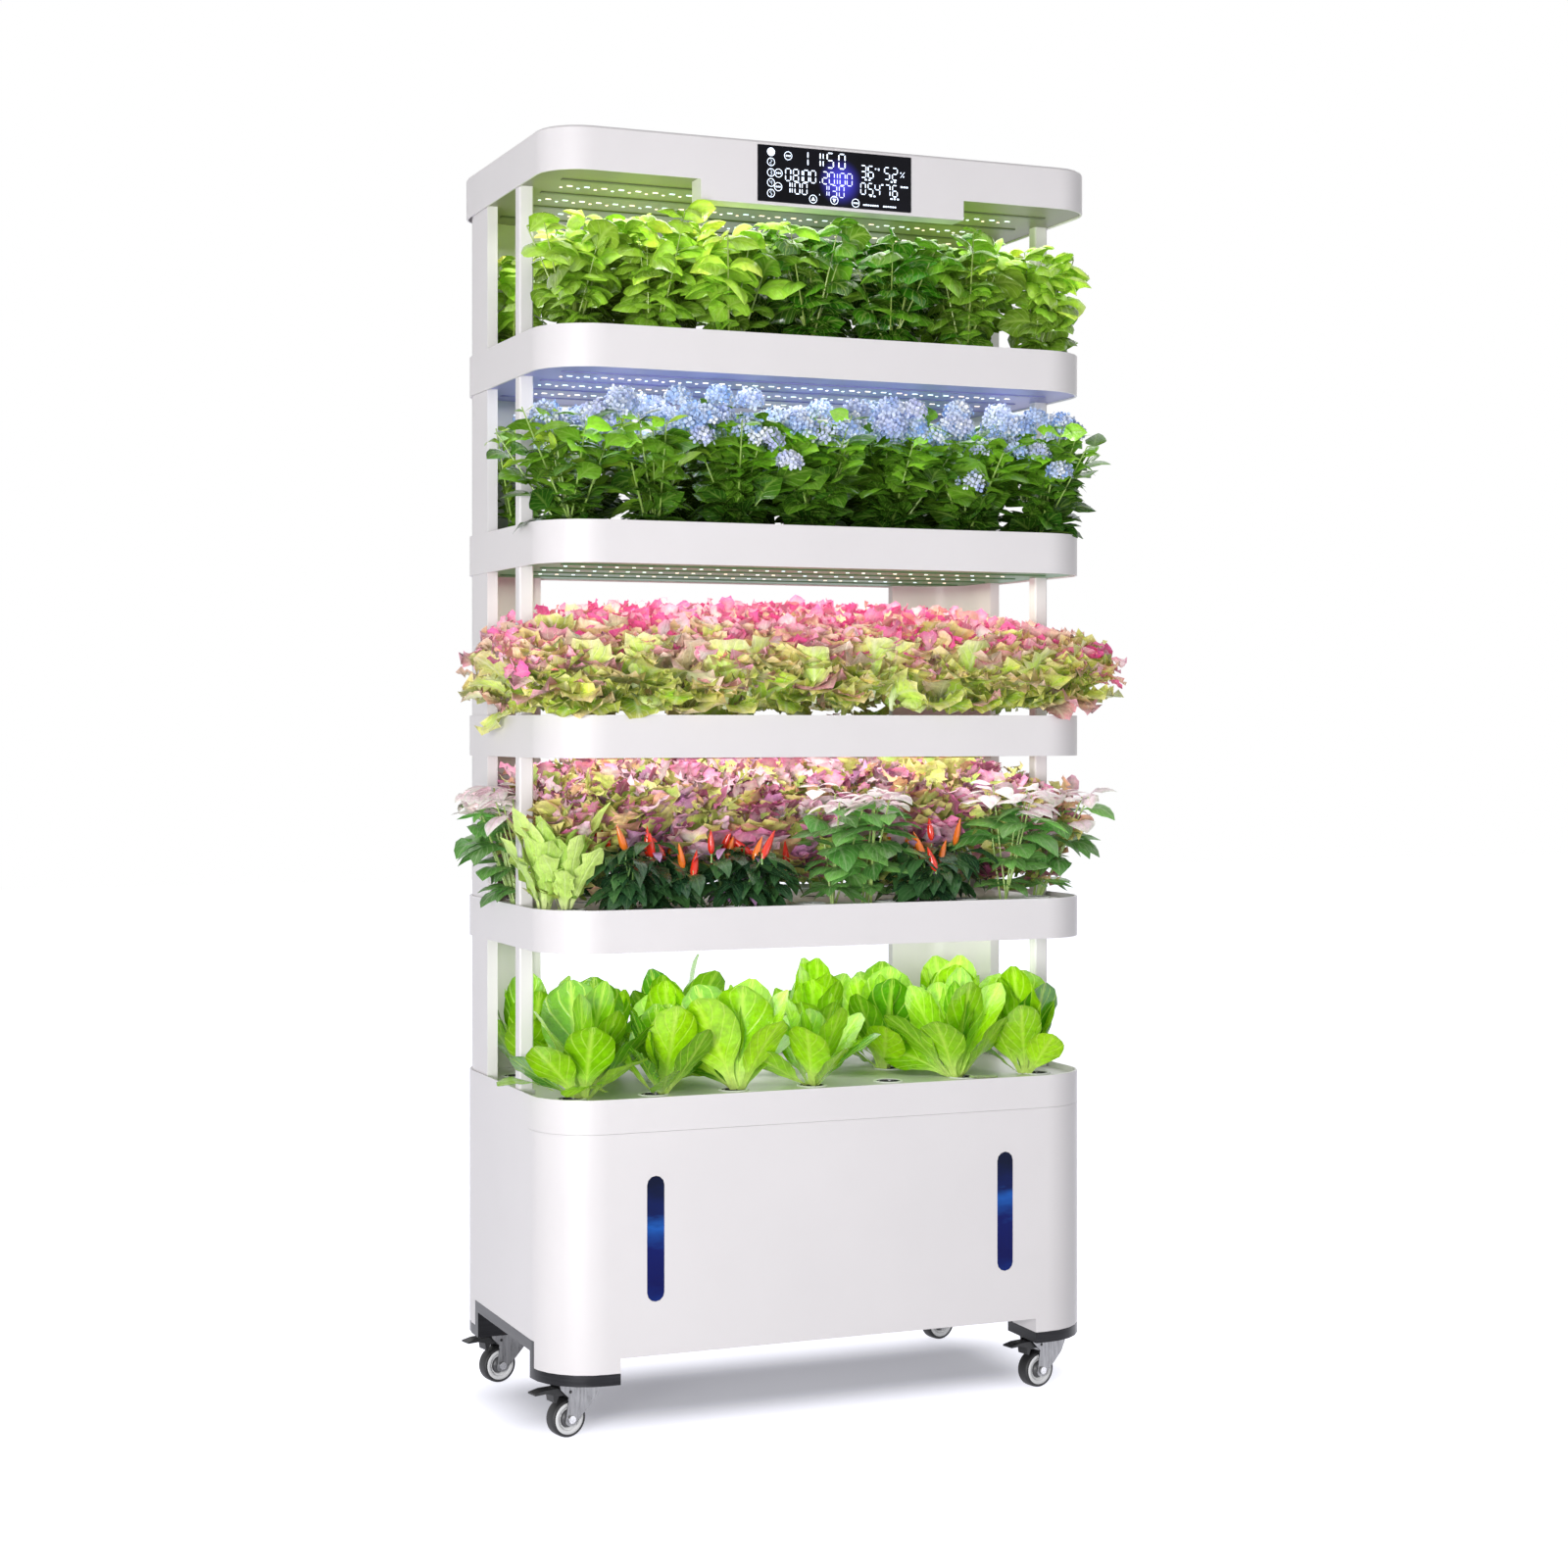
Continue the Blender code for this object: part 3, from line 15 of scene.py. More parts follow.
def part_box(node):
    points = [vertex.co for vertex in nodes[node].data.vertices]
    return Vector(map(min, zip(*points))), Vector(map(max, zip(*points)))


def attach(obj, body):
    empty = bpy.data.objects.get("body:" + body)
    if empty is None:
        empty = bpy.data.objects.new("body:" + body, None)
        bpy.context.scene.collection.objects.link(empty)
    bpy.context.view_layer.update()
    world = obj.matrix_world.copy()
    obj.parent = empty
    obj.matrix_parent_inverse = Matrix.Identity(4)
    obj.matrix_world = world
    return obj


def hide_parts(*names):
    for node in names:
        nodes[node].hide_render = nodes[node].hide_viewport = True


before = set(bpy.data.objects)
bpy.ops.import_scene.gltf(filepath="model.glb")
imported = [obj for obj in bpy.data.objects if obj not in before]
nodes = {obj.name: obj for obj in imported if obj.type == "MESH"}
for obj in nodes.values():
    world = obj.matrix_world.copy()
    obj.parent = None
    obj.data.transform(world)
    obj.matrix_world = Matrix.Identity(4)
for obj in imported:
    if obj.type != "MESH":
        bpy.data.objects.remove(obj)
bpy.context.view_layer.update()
random = np.random.default_rng(11)

# Camera, from the edges of the photographed object
CAMERA_PLACE = (-1.429, -3.484, 0.930)
CAMERA_YAW = math.radians(22.54)
CAMERA_LENS = 61.1
CAMERA_SHIFT_Y = -0.0377

# The frame's own sizes
RACK = "rack"
CORNERS = ["front_left", "front_right", "rear_left", "rear_right"]
WHEEL_AXIS = (-0.20791, 0.97815, 0)
UPPER_TIERS = (2, 3, 4, 5)
TANK_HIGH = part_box("water_tank")[1]
HALF_WIDTH, HALF_DEPTH = TANK_HIGH.x, TANK_HIGH.y
BODY_CORNER_R = 0.080
DECK_SINK = 0.008
RIMS = [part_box("deck_tray")[1].z] + [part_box("grow_tray_%d" % tier)[1].z for tier in UPPER_TIERS]
FLOORS = [RIMS[0] - DECK_SINK] + [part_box("planting_board_%d" % tier)[1].z for tier in UPPER_TIERS]
CEILINGS = [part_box("grow_tray_%d" % tier)[0].z for tier in UPPER_TIERS] + [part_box("hood")[0].z]
BOARD_LOW, BOARD_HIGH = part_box("planting_board_2")
HOLE_PITCH, ROW_PITCH = 0.115, 0.125
HOLE_COUNTS = (7, 6, 7)
HOLE_ROWS = [(BOARD_LOW.y + BOARD_HIGH.y) / 2 + step * ROW_PITCH for step in (-1, 0, 1)]
POST_LOW, POST_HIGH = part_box("front_post_right")
POST_HALF = 0.010
POST_X, POST_Y = POST_HIGH.x - POST_HALF, (POST_LOW.y + POST_HIGH.y) / 2
COLUMN_LOW, COLUMN_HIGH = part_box("rear_column_right")
COLUMN_WALL = 0.015
PIPE_X, PIPE_Y, PIPE_R = -0.300, 0.1954, 0.006
POD_HALF, POD_REAR_Y = 0.192, -0.185

# How far leaves reach to the left and the right on each tier, and to the front and the rear on all of them
REACHES = [(-0.470, 0.378), (-0.476, 0.450), (-0.455, 0.455), (-0.446, 0.437), (-0.412, 0.418)]
REACH_Y = 0.249

# How leaves lie against the body, whose rim covers a band on both sides of its outline in plan
RIM_BAND = (-0.010, 0.0035)
RIM_GAP, FLOOR_GAP, CEILING_GAP, SIDE_GAP = 0.0018, 0.0010, 0.002, 0.004
NO_LIMIT = -1.0

# How plants grow
UP = np.array([0, 0, 1.0])
GOLDEN_TURN = 2.39996
PLANTS_MIDDLE_Y = -0.015
STEM_STEPS = 7
# How much darker a lettuce leaf's base is than its body: painted shade where the leaves lie over each other
LETTUCE_BASE_PAINTED_SHADE = (0.40, 0.52, 0.34)
FLORETS, FRONT_HEADS, HEAD_ROOM = 38, 26, 0.034

# Lamps: their rows, ribs and places along them, and each lamp's offset and half size in plan
LAMP_PLATES = ["lamp_plate_2", "lamp_plate_3", "lamp_plate_4", "lamp_plate_5", "lamp_plate_hood"]
LAMP_ROWS = (-0.095, 0.0, 0.095)
LAMP_RIBS = (-0.140, -0.048, 0.048, 0.140)
LAMP_REACH, LAMP_PITCH = 0.338, 0.0242
LAMP_DROP, LAMP_SINK = 0.0009, 0.0002
RIB_HALF, RIB_DROP, RIB_SINK, RIB_OVERHANG = 0.0045, 0.0016, 0.0004, 0.02
LAMP_PAIR = [(-0.0046, 0.0060, 0.0017, 0.0013), (0.0040, -0.0060, 0.0036, 0.0014)]
LAMP_SINGLE = [(0.0, 0.0, 0.0020, 0.0016)]
SINGLE_LAMP_TIER = 3
LAMP_TINTS = [(1.0, 0.92, 0.72), (0.80, 1.0, 0.92), (1.0, 0.96, 0.90), (1.0, 0.80, 0.62), (0.72, 0.92, 1.0)]
# The ribs' tints are darker than their plates and carry the same painted lamp light.
RIB_TINTS = [(0.40, 0.38, 0.38), (0.40, 0.38, 0.38), (0.05, 0.15, 0.05), (0.22, 0.22, 0.46),
             (0.09, 0.11, 0.055)]
TIER_LIGHTS = [((1, 1, 0.96), 1.5), ((0.94, 1, 0.94), 1.3), ((0.88, 1, 0.80), 1.5), ((0.92, 0.95, 1), 1.5),
               ((0.96, 1, 0.88), 1.6)]

# The painted soft shadow on the floor: half its core, the fade round it, and how white it is
SHADOW_HALF, SHADOW_FADE, SHADOW_SHARE = (0.31, 0.05), 0.17, 0.26
FLOOR_WHITE = 1.10
FLOOR_HALF = 12.0


# Materials


def feed(tree, node, inputs):
    """Sets a node's inputs to values, or links those that are given as another node's output."""
    for key, value in inputs.items():
        if isinstance(value, bpy.types.NodeSocket):
            tree.links.new(value, node.inputs[key])
        else:
            node.inputs[key].default_value = value


def add_node(tree, kind, inputs=None, **settings):
    node = tree.nodes.new(kind)
    for key, value in settings.items():
        setattr(node, key, value)
    feed(tree, node, inputs or {})
    return node


def maths(tree, operation, *inputs):
    return add_node(tree, "ShaderNodeMath", dict(enumerate(inputs)), operation=operation).outputs["Value"]


def vector_maths(tree, operation, *inputs):
    node = add_node(tree, "ShaderNodeVectorMath", dict(enumerate(inputs)), operation=operation)
    return node.outputs["Value" if operation == "LENGTH" else "Vector"]


def value_range(tree, source, low, high, start=0.0, end=1.0, **settings):
    """Turns a value from start to end into one from low to high."""
    inputs = {"Value": source, "From Min": start, "From Max": end, "To Min": low, "To Max": high}
    return add_node(tree, "ShaderNodeMapRange", inputs, **settings).outputs["Result"]


def mixed_colour(tree, share, first, second, blend="MIX"):
    """Two colours mixed by share; a Mix node's colour sockets are its inputs 6 and 7 and its output 2."""
    inputs = {0: share, 6: first, 7: second}
    return add_node(tree, "ShaderNodeMix", inputs, data_type="RGBA", blend_type=blend).outputs[2]


def part_point(tree):
    """The point in the part's own frame."""
    return add_node(tree, "ShaderNodeTexCoord").outputs["Object"]


def object_place(tree, scale=(1, 1, 1)):
    """The point in the part's own frame, stretched by scale."""
    return add_node(tree, "ShaderNodeMapping", {"Vector": part_point(tree), "Scale": scale}).outputs["Vector"]


def mesh_tint(tree):
    """The colour that the mesh holds at each of its points."""
    return add_node(tree, "ShaderNodeAttribute", attribute_name="leaf_tint").outputs["Color"]


def noise(tree, place, scale, detail=3.0, roughness=0.55):
    inputs = {"Vector": place, "Scale": scale, "Detail": detail, "Roughness": roughness}
    return add_node(tree, "ShaderNodeTexNoise", inputs).outputs["Fac"]


def ramp(tree, source, stops):
    """A colour ramp through (place, colour) stops."""
    node = add_node(tree, "ShaderNodeValToRGB", {"Fac": source})
    elements = node.color_ramp.elements
    while len(elements) < len(stops):
        elements.new(0.5)
    for element, (place, colour) in zip(elements, stops):
        element.position = place
        element.color = (*colour, 1)
    return node.outputs["Color"]


def bump(tree, shader, height, strength, distance):
    node = add_node(tree, "ShaderNodeBump", {"Height": height, "Strength": strength, "Distance": distance})
    feed(tree, shader, {"Normal": node.outputs["Normal"]})


def shade(colour, share):
    return tuple(part * share for part in colour)


def clouded(tree, source, colour, dark, light):
    """Clouding between two shades of one colour."""
    return ramp(tree, source, [(0.3, shade(colour, dark)), (0.7, shade(colour, light))])


def shader_material(name, colour, roughness, metallic=0.0, coat=0.0, specular=0.5):
    """A Principled material and its tree; fixed values sit on the shader's own sockets."""
    made = bpy.data.materials.new(name)
    made.use_nodes = True
    made.diffuse_color = (*colour, 1)
    tree = made.node_tree
    shader = tree.nodes["Principled BSDF"]
    feed(tree, shader, {"Base Color": (*colour, 1), "Roughness": roughness, "Metallic": metallic,
                        "Coat Weight": coat, "Specular IOR Level": specular})
    return made, tree, shader


def moulded_plastic(name, colour, roughness=0.34, variation=0.02):
    """Satin moulded plastic: faint clouding, uneven gloss and a fine grain."""
    made, tree, shader = shader_material(name, colour, roughness)
    place = object_place(tree)
    tint = clouded(tree, noise(tree, place, 6.0), colour, 1 - variation, 1 + variation / 2)
    gloss = value_range(tree, noise(tree, place, 24.0), roughness - 0.05, roughness + 0.06)
    feed(tree, shader, {"Base Color": tint, "Roughness": gloss})
    bump(tree, shader, noise(tree, place, 1400.0, 2.0), 0.06, 0.0004)
    return made


def brushed_metal(name, colour, roughness, stretch, grain=260.0):
    """Metal with fine lines along the axis that stretch keeps long."""
    made, tree, shader = shader_material(name, colour, roughness, metallic=1.0)
    lines = noise(tree, object_place(tree, stretch), grain, 6.0, 0.7)
    tint = ramp(tree, lines, [(0.25, shade(colour, 0.62)), (0.5, colour), (0.8, shade(colour, 1.45))])
    gloss = value_range(tree, lines, roughness - 0.10, roughness + 0.14)
    feed(tree, shader, {"Base Color": tint, "Roughness": gloss})
    bump(tree, shader, lines, 0.15, 0.0003)
    return made


def window_water():
    """Deep blue water behind a clear pane: dark below, a brighter band of light near the top."""
    low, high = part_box("sight_window_left")
    made, tree, shader = shader_material("scene_window_water", (0.01, 0.04, 0.20), 0.16, specular=0.12)
    split = add_node(tree, "ShaderNodeSeparateXYZ", {"Vector": part_point(tree)})
    height = value_range(tree, split.outputs["Z"], 0.0, 1.0, low.z, high.z)
    wave = noise(tree, object_place(tree, (1, 1, 3)), 22.0)
    feed(tree, shader, {"Base Color": ramp(tree, maths(tree, "MULTIPLY_ADD", wave, 0.22, height), [
        (0.06, (0.003, 0.026, 0.200)), (0.26, (0.001, 0.004, 0.090)), (0.54, (0.002, 0.008, 0.120)),
        (0.72, (0.012, 0.100, 0.440)), (0.82, (0.002, 0.010, 0.090)), (1.0, (0.001, 0.005, 0.030))])})
    return made


def lamp_plate_material(name, tint, glow):
    """A white lamp plate with the light of its own lamps painted on: a tint in their colour and a glow."""
    made, tree, shader = shader_material(name, tint, 0.42)
    place = object_place(tree)
    feed(tree, shader, {"Base Color": clouded(tree, noise(tree, place, 9.0), tint, 0.96, 1.03),
                        "Emission Color": (*tint, 1), "Emission Strength": glow})
    bump(tree, shader, noise(tree, place, 900.0, 2.0), 0.05, 0.0004)
    return made


def glowing(name, colour, strength):
    made, tree, shader = shader_material(name, colour, 0.3)
    feed(tree, shader, {"Emission Color": (*colour, 1), "Emission Strength": strength})
    return made


def display_glass():
    """Black glass with a soft blue glow behind the middle figures."""
    made, tree, shader = shader_material("scene_display_glass", (0.004, 0.004, 0.006), 0.24, specular=0.08)
    low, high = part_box("control_display")
    middle = (low.x + 0.53 * (high.x - low.x), low.y, high.z - 0.56 * (high.z - low.z))
    cloud = noise(tree, object_place(tree), 26.0, 2.0)
    far = vector_maths(tree, "LENGTH", vector_maths(tree, "SUBTRACT", part_point(tree), middle))
    feed(tree, shader, {
        "Base Color": ramp(tree, cloud, [(0.3, (0.003, 0.003, 0.005)), (0.7, (0.006, 0.006, 0.010))]),
        "Emission Color": (0.10, 0.09, 1.0, 1),
        "Emission Strength": value_range(tree, far, 0.85, 0.0, end=0.034, interpolation_type="SMOOTHSTEP")})
    return made


def leaf_material(name, vein, vein_share, side_veins, roughness, coat=0.0, grain=0.25, through=0.12):
    """Leaf skin: the mesh's own tint, a pale midrib with side veins, a puckered surface, and a painted glow
    in the leaf's own colours that stands in for the light that comes through a thin leaf."""
    made, tree, shader = shader_material(name, (0.2, 0.45, 0.05), roughness, coat=coat)
    place = add_node(tree, "ShaderNodeAttribute", attribute_name="leaf_place").outputs["Vector"]
    split = add_node(tree, "ShaderNodeSeparateXYZ", {"Vector": place})
    across = maths(tree, "ABSOLUTE", split.outputs["X"])
    lean = maths(tree, "MULTIPLY_ADD", across, -0.42, split.outputs["Y"])
    wave = maths(tree, "SINE", maths(tree, "MULTIPLY", lean, side_veins * math.tau))
    veins = maths(tree, "MAXIMUM", value_range(tree, across, 1.0, 0.0, 0.02, 0.16),
                  value_range(tree, wave, 0.0, 0.8, 0.80, 1.0))
    cloud = noise(tree, object_place(tree), 120.0)
    shadow = ramp(tree, cloud, [(0.30, (0.80, 0.80, 0.80)), (0.70, (1.12, 1.12, 1.12))])
    mottled = mixed_colour(tree, 1.0, mesh_tint(tree), shadow, "MULTIPLY")
    veined = mixed_colour(tree, maths(tree, "MULTIPLY", veins, vein_share), mottled, (*vein, 1))
    height = maths(tree, "MULTIPLY_ADD", veins, -0.6, noise(tree, object_place(tree), 260.0, 2.0))
    # Emission in the leaf's own colours: a painted glow for light that comes through the thin leaf.
    feed(tree, shader, {"Base Color": veined, "Emission Color": veined, "Emission Strength": through})
    bump(tree, shader, height, grain, 0.0015)
    return made


def petal_material():
    """Thin petals that take the mesh's own tints, with a soft mottle."""
    made, tree, shader = shader_material("scene_hydrangea_petal", (0.4, 0.52, 0.86), 0.5)
    mottle = ramp(tree, noise(tree, object_place(tree), 300.0, 2.0),
                  [(0.3, (0.86, 0.86, 0.9)), (0.7, (1.08, 1.08, 1.05))])
    feed(tree, shader, {"Base Color": mixed_colour(tree, 1.0, mesh_tint(tree), mottle, "MULTIPLY")})
    return made


def pepper_material():
    """Glossy peppers in the mesh's own tints."""
    made, tree, shader = shader_material("scene_chili_pepper", (0.8, 0.04, 0.01), 0.18, coat=0.5)
    feed(tree, shader, {"Base Color": mesh_tint(tree)})
    bump(tree, shader, noise(tree, object_place(tree), 180.0, 2.0), 0.15, 0.0008)
    return made


def lamp_dot_material():
    """Small lamps that glow in the mesh's own tints."""
    made, tree, shader = shader_material("scene_lamp_dots", (0.9, 0.9, 0.85), 0.3)
    tint = mesh_tint(tree)
    feed(tree, shader, {"Base Color": tint, "Emission Color": tint, "Emission Strength": 1.5})
    return made


def background_rays(tree):
    """1 for the rays that show the white background: from the camera, off gloss and through glass."""
    rays = add_node(tree, "ShaderNodeLightPath").outputs
    indirect = maths(tree, "MAXIMUM", rays["Is Glossy Ray"], rays["Is Transmission Ray"])
    return maths(tree, "MAXIMUM", rays["Is Camera Ray"], indirect)


def floor_material():
    """White to the camera, with a bluish painted soft shadow round the part, and the part's own shadow from
    the lamps on it.
    """
    made = bpy.data.materials.new("scene_floor")
    made.use_nodes = True
    tree = made.node_tree
    tree.nodes.clear()
    off_middle = vector_maths(tree, "ABSOLUTE", part_point(tree))
    beyond = vector_maths(tree, "SUBTRACT", off_middle, (*SHADOW_HALF, 0))
    far = vector_maths(tree, "LENGTH", vector_maths(tree, "MAXIMUM", beyond, (0, 0, 0)))
    # Painted shadow: the white glow drops to a share of itself inside the box round the part.
    white = value_range(tree, far, SHADOW_SHARE, FLOOR_WHITE, 0.0, SHADOW_FADE,
                        interpolation_type="SMOOTHSTEP")
    strength = maths(tree, "MULTIPLY", background_rays(tree), white)
    glow = add_node(tree, "ShaderNodeEmission", {"Color": (0.92, 0.92, 1.0, 1), "Strength": strength})
    matt = add_node(tree, "ShaderNodeBsdfDiffuse", {"Color": (0.62, 0.63, 0.66, 1)})
    both = add_node(tree, "ShaderNodeAddShader", {0: glow.outputs["Emission"], 1: matt.outputs["BSDF"]})
    add_node(tree, "ShaderNodeOutputMaterial", {"Surface": both.outputs["Shader"]})
    return made


WHITE = moulded_plastic("scene_warm_white", (0.765, 0.735, 0.748))
BOARD_WHITE = moulded_plastic("scene_board_white", (0.88, 0.88, 0.86), 0.42)
DARK_PLASTIC = moulded_plastic("scene_dark_plastic", (0.028, 0.028, 0.030), 0.45, 0.15)
PIPE_GREY = moulded_plastic("scene_pipe_grey", (0.36, 0.37, 0.38), 0.40, 0.04)
RUBBER = moulded_plastic("scene_rubber", (0.013, 0.013, 0.014), 0.55, 0.12)
RIM_GREY = moulded_plastic("scene_rim", (0.76, 0.76, 0.77), 0.30, 0.04)
HUB_GREY = moulded_plastic("scene_hub", (0.085, 0.085, 0.090), 0.40, 0.08)
PEDAL_BLACK = moulded_plastic("scene_pedal_black", (0.010, 0.010, 0.011), 0.46, 0.15)
GROWING_MEDIUM = moulded_plastic("scene_growing_medium", (0.045, 0.030, 0.020), 0.9, 0.4)
GUNMETAL = brushed_metal("scene_gunmetal", (0.030, 0.030, 0.032), 0.30, (0.05, 0.05, 1.0))
ZINC = brushed_metal("scene_zinc", (0.29, 0.29, 0.295), 0.28, (1.0, 1.0, 0.12), 300.0)
STEEL = brushed_metal("scene_bolt_steel", (0.66, 0.66, 0.67), 0.22, (1.0, 0.2, 1.0), 400.0)
WINDOW_BLUE = window_water()
DISPLAY = display_glass()
# The plates are white; their tints and glows are painted light from their own lamps, and so are the ribs'.
LAMP_GREEN = lamp_plate_material("scene_plate_painted_lamp_light_green", (0.21, 0.21, 0.145), 0.06)
LAMP_SAGE = lamp_plate_material("scene_plate_painted_lamp_light_sage", (0.075, 0.250, 0.085), 0.10)
LAMP_BLUE = lamp_plate_material("scene_plate_painted_lamp_light_blue", (0.27, 0.27, 0.58), 0.08)
LAMP_WARM = lamp_plate_material("scene_plate_painted_lamp_light_warm", (0.60, 0.58, 0.58), 0.05)
RIB_SKINS = [lamp_plate_material("scene_lamp_rib_%d" % tier, tint, 0.05)
             for tier, tint in enumerate(RIB_TINTS, 1)]
DIGIT_GLOW = glowing("scene_digit_glow", (0.74, 0.84, 1.0), 1.6)
DIGIT_BLUE = glowing("scene_digit_blue", (0.56, 0.60, 1.0), 1.3)


# Mesh helpers


def new_mesh(name, points, faces, material, smooth=True):
    mesh = bpy.data.meshes.new(name)
    mesh.from_pydata([tuple(map(float, point)) for point in points], [], faces)
    mesh.update()
    made = bpy.data.objects.new(name, mesh)
    bpy.context.scene.collection.objects.link(made)
    mesh.materials.append(material)
    if smooth:
        mesh.shade_smooth()
    return made


def write_tints(made, tints):
    """Stores a colour for each point of the mesh, which mesh_tint reads."""
    colours = np.c_[np.clip(tints, 0, 1), np.ones(len(tints))]
    attribute = made.data.attributes.new("leaf_tint", "FLOAT_COLOR", "POINT")
    attribute.data.foreach_set("color", colours.astype(np.float32).ravel())


def heading(turn):
    """The directions in plan at each turn."""
    return np.stack([np.cos(turn), np.sin(turn)], -1)


def unit(vectors):
    """The vectors at a length of 1."""
    return vectors / (np.linalg.norm(vectors, axis=-1, keepdims=True) + 1e-9)


def repeat_faces(faces, points_each, count):
    """The same faces for count sets of points that lie one after another."""
    return (faces[None] + (np.arange(count) * points_each)[:, None, None]).reshape(-1, faces.shape[1])


def smooth_group(angle):
    """Geometry nodes that shade smooth across gentle edges and keep the sharper ones crisp."""
    group = bpy.data.node_groups.new("smooth_gentle_edges", "GeometryNodeTree")
    for way in ("INPUT", "OUTPUT"):
        group.interface.new_socket("Geometry", in_out=way, socket_type="NodeSocketGeometry")
    source = add_node(group, "NodeGroupInput").outputs["Geometry"]
    bend = add_node(group, "GeometryNodeInputMeshEdgeAngle").outputs["Unsigned Angle"]
    sharp = add_node(group, "FunctionNodeCompare", {0: bend, 1: math.radians(angle)},
                     data_type="FLOAT", operation="GREATER_THAN").outputs["Result"]
    faces = add_node(group, "GeometryNodeSetShadeSmooth", {"Geometry": source}, domain="FACE")
    inputs = {"Geometry": faces.outputs["Geometry"], "Selection": sharp, "Shade Smooth": False}
    edges = add_node(group, "GeometryNodeSetShadeSmooth", inputs, domain="EDGE")
    add_node(group, "NodeGroupOutput", {"Geometry": edges.outputs["Geometry"]})
    return group


SMOOTH = smooth_group(32)


def soften(piece, width):
    """Rounds a piece's sharp edges by modifiers; the mesh itself stays."""
    piece.modifiers.new("weld", "WELD").merge_threshold = 0.00002
    flat = piece.modifiers.new("flat", "DECIMATE")
    flat.decimate_type = "DISSOLVE"
    flat.angle_limit = math.radians(0.5)
    bevel = piece.modifiers.new("edge", "BEVEL")
    bevel.width = width
    bevel.segments = 2
    bevel.limit_method = "ANGLE"
    bevel.angle_limit = math.radians(30)
    bevel.use_clamp_overlap = True
    bevel.harden_normals = False
    piece.modifiers.new("smooth", "NODES").node_group = SMOOTH
    piece.modifiers.new("normal", "WEIGHTED_NORMAL").keep_sharp = True


def turned(profile, steps):
    """The points and quads of a piece turned round Z, from (radius, height) points."""
    ring = heading(np.linspace(0, math.tau, steps, endpoint=False))
    points = np.concatenate([np.c_[ring * radius, np.full(steps, height)] for radius, height in profile])
    row, column = np.meshgrid(np.arange(len(profile) - 1), np.arange(steps), indexing="ij")
    here, after = row * steps + column, row * steps + (column + 1) % steps
    return points, np.stack([here, after, after + steps, here + steps], -1).reshape(-1, 4)


OPEN_BOX = [(3, 2, 1, 0), (0, 1, 5, 4), (1, 2, 6, 5), (2, 3, 7, 6), (3, 0, 4, 7)]
BOX_TOP = (4, 5, 6, 7)


def box_corners(low, high):
    return [(x, y, z) for z in (low[2], high[2]) for x, y in
            ((low[0], low[1]), (high[0], low[1]), (high[0], high[1]), (low[0], high[1]))]


# The CAD nodes that stay


def finish_node(name, material, width):
    """Gives a CAD node its material, and rounds its edges."""
    piece = nodes[name]
    for slot in piece.material_slots:
        slot.material = material
    soften(piece, width)


def finish_frame():
    for material, width, names in [
        (WHITE, 0.0006, ["front_post_left", "front_post_right", "rear_column_left", "rear_column_right"]),
        (WHITE, 0.0008, ["water_tank", "deck_tray"]),
        (WHITE, 0.0009, ["grow_tray_%d" % tier for tier in UPPER_TIERS]),
        (WHITE, 0.0010, ["hood"]),
        (BOARD_WHITE, 0.0004, ["planting_board_%d" % tier for tier in UPPER_TIERS]),
        (GUNMETAL, 0.0006, ["base_frame"]),
        (DISPLAY, 0.0006, ["control_display"]),
        (DARK_PLASTIC, 0.001, ["controller_box", "circulation_pump"]),
        (DARK_PLASTIC, 0.0004, ["power_inlet"]),
        (PIPE_GREY, 0.0002, ["riser_pipe"]),
        (WINDOW_BLUE, 0.0004, ["sight_window_left", "sight_window_right"]),
        (LAMP_WARM, 0.0004, ["lamp_plate_2", "lamp_plate_3"]),
        (LAMP_SAGE, 0.0004, ["lamp_plate_4"]),
        (LAMP_BLUE, 0.0004, ["lamp_plate_5"]),
        (LAMP_GREEN, 0.0004, ["lamp_plate_hood"]),
    ]:
        for name in names:
            finish_node(name, material, width)


# Foliage

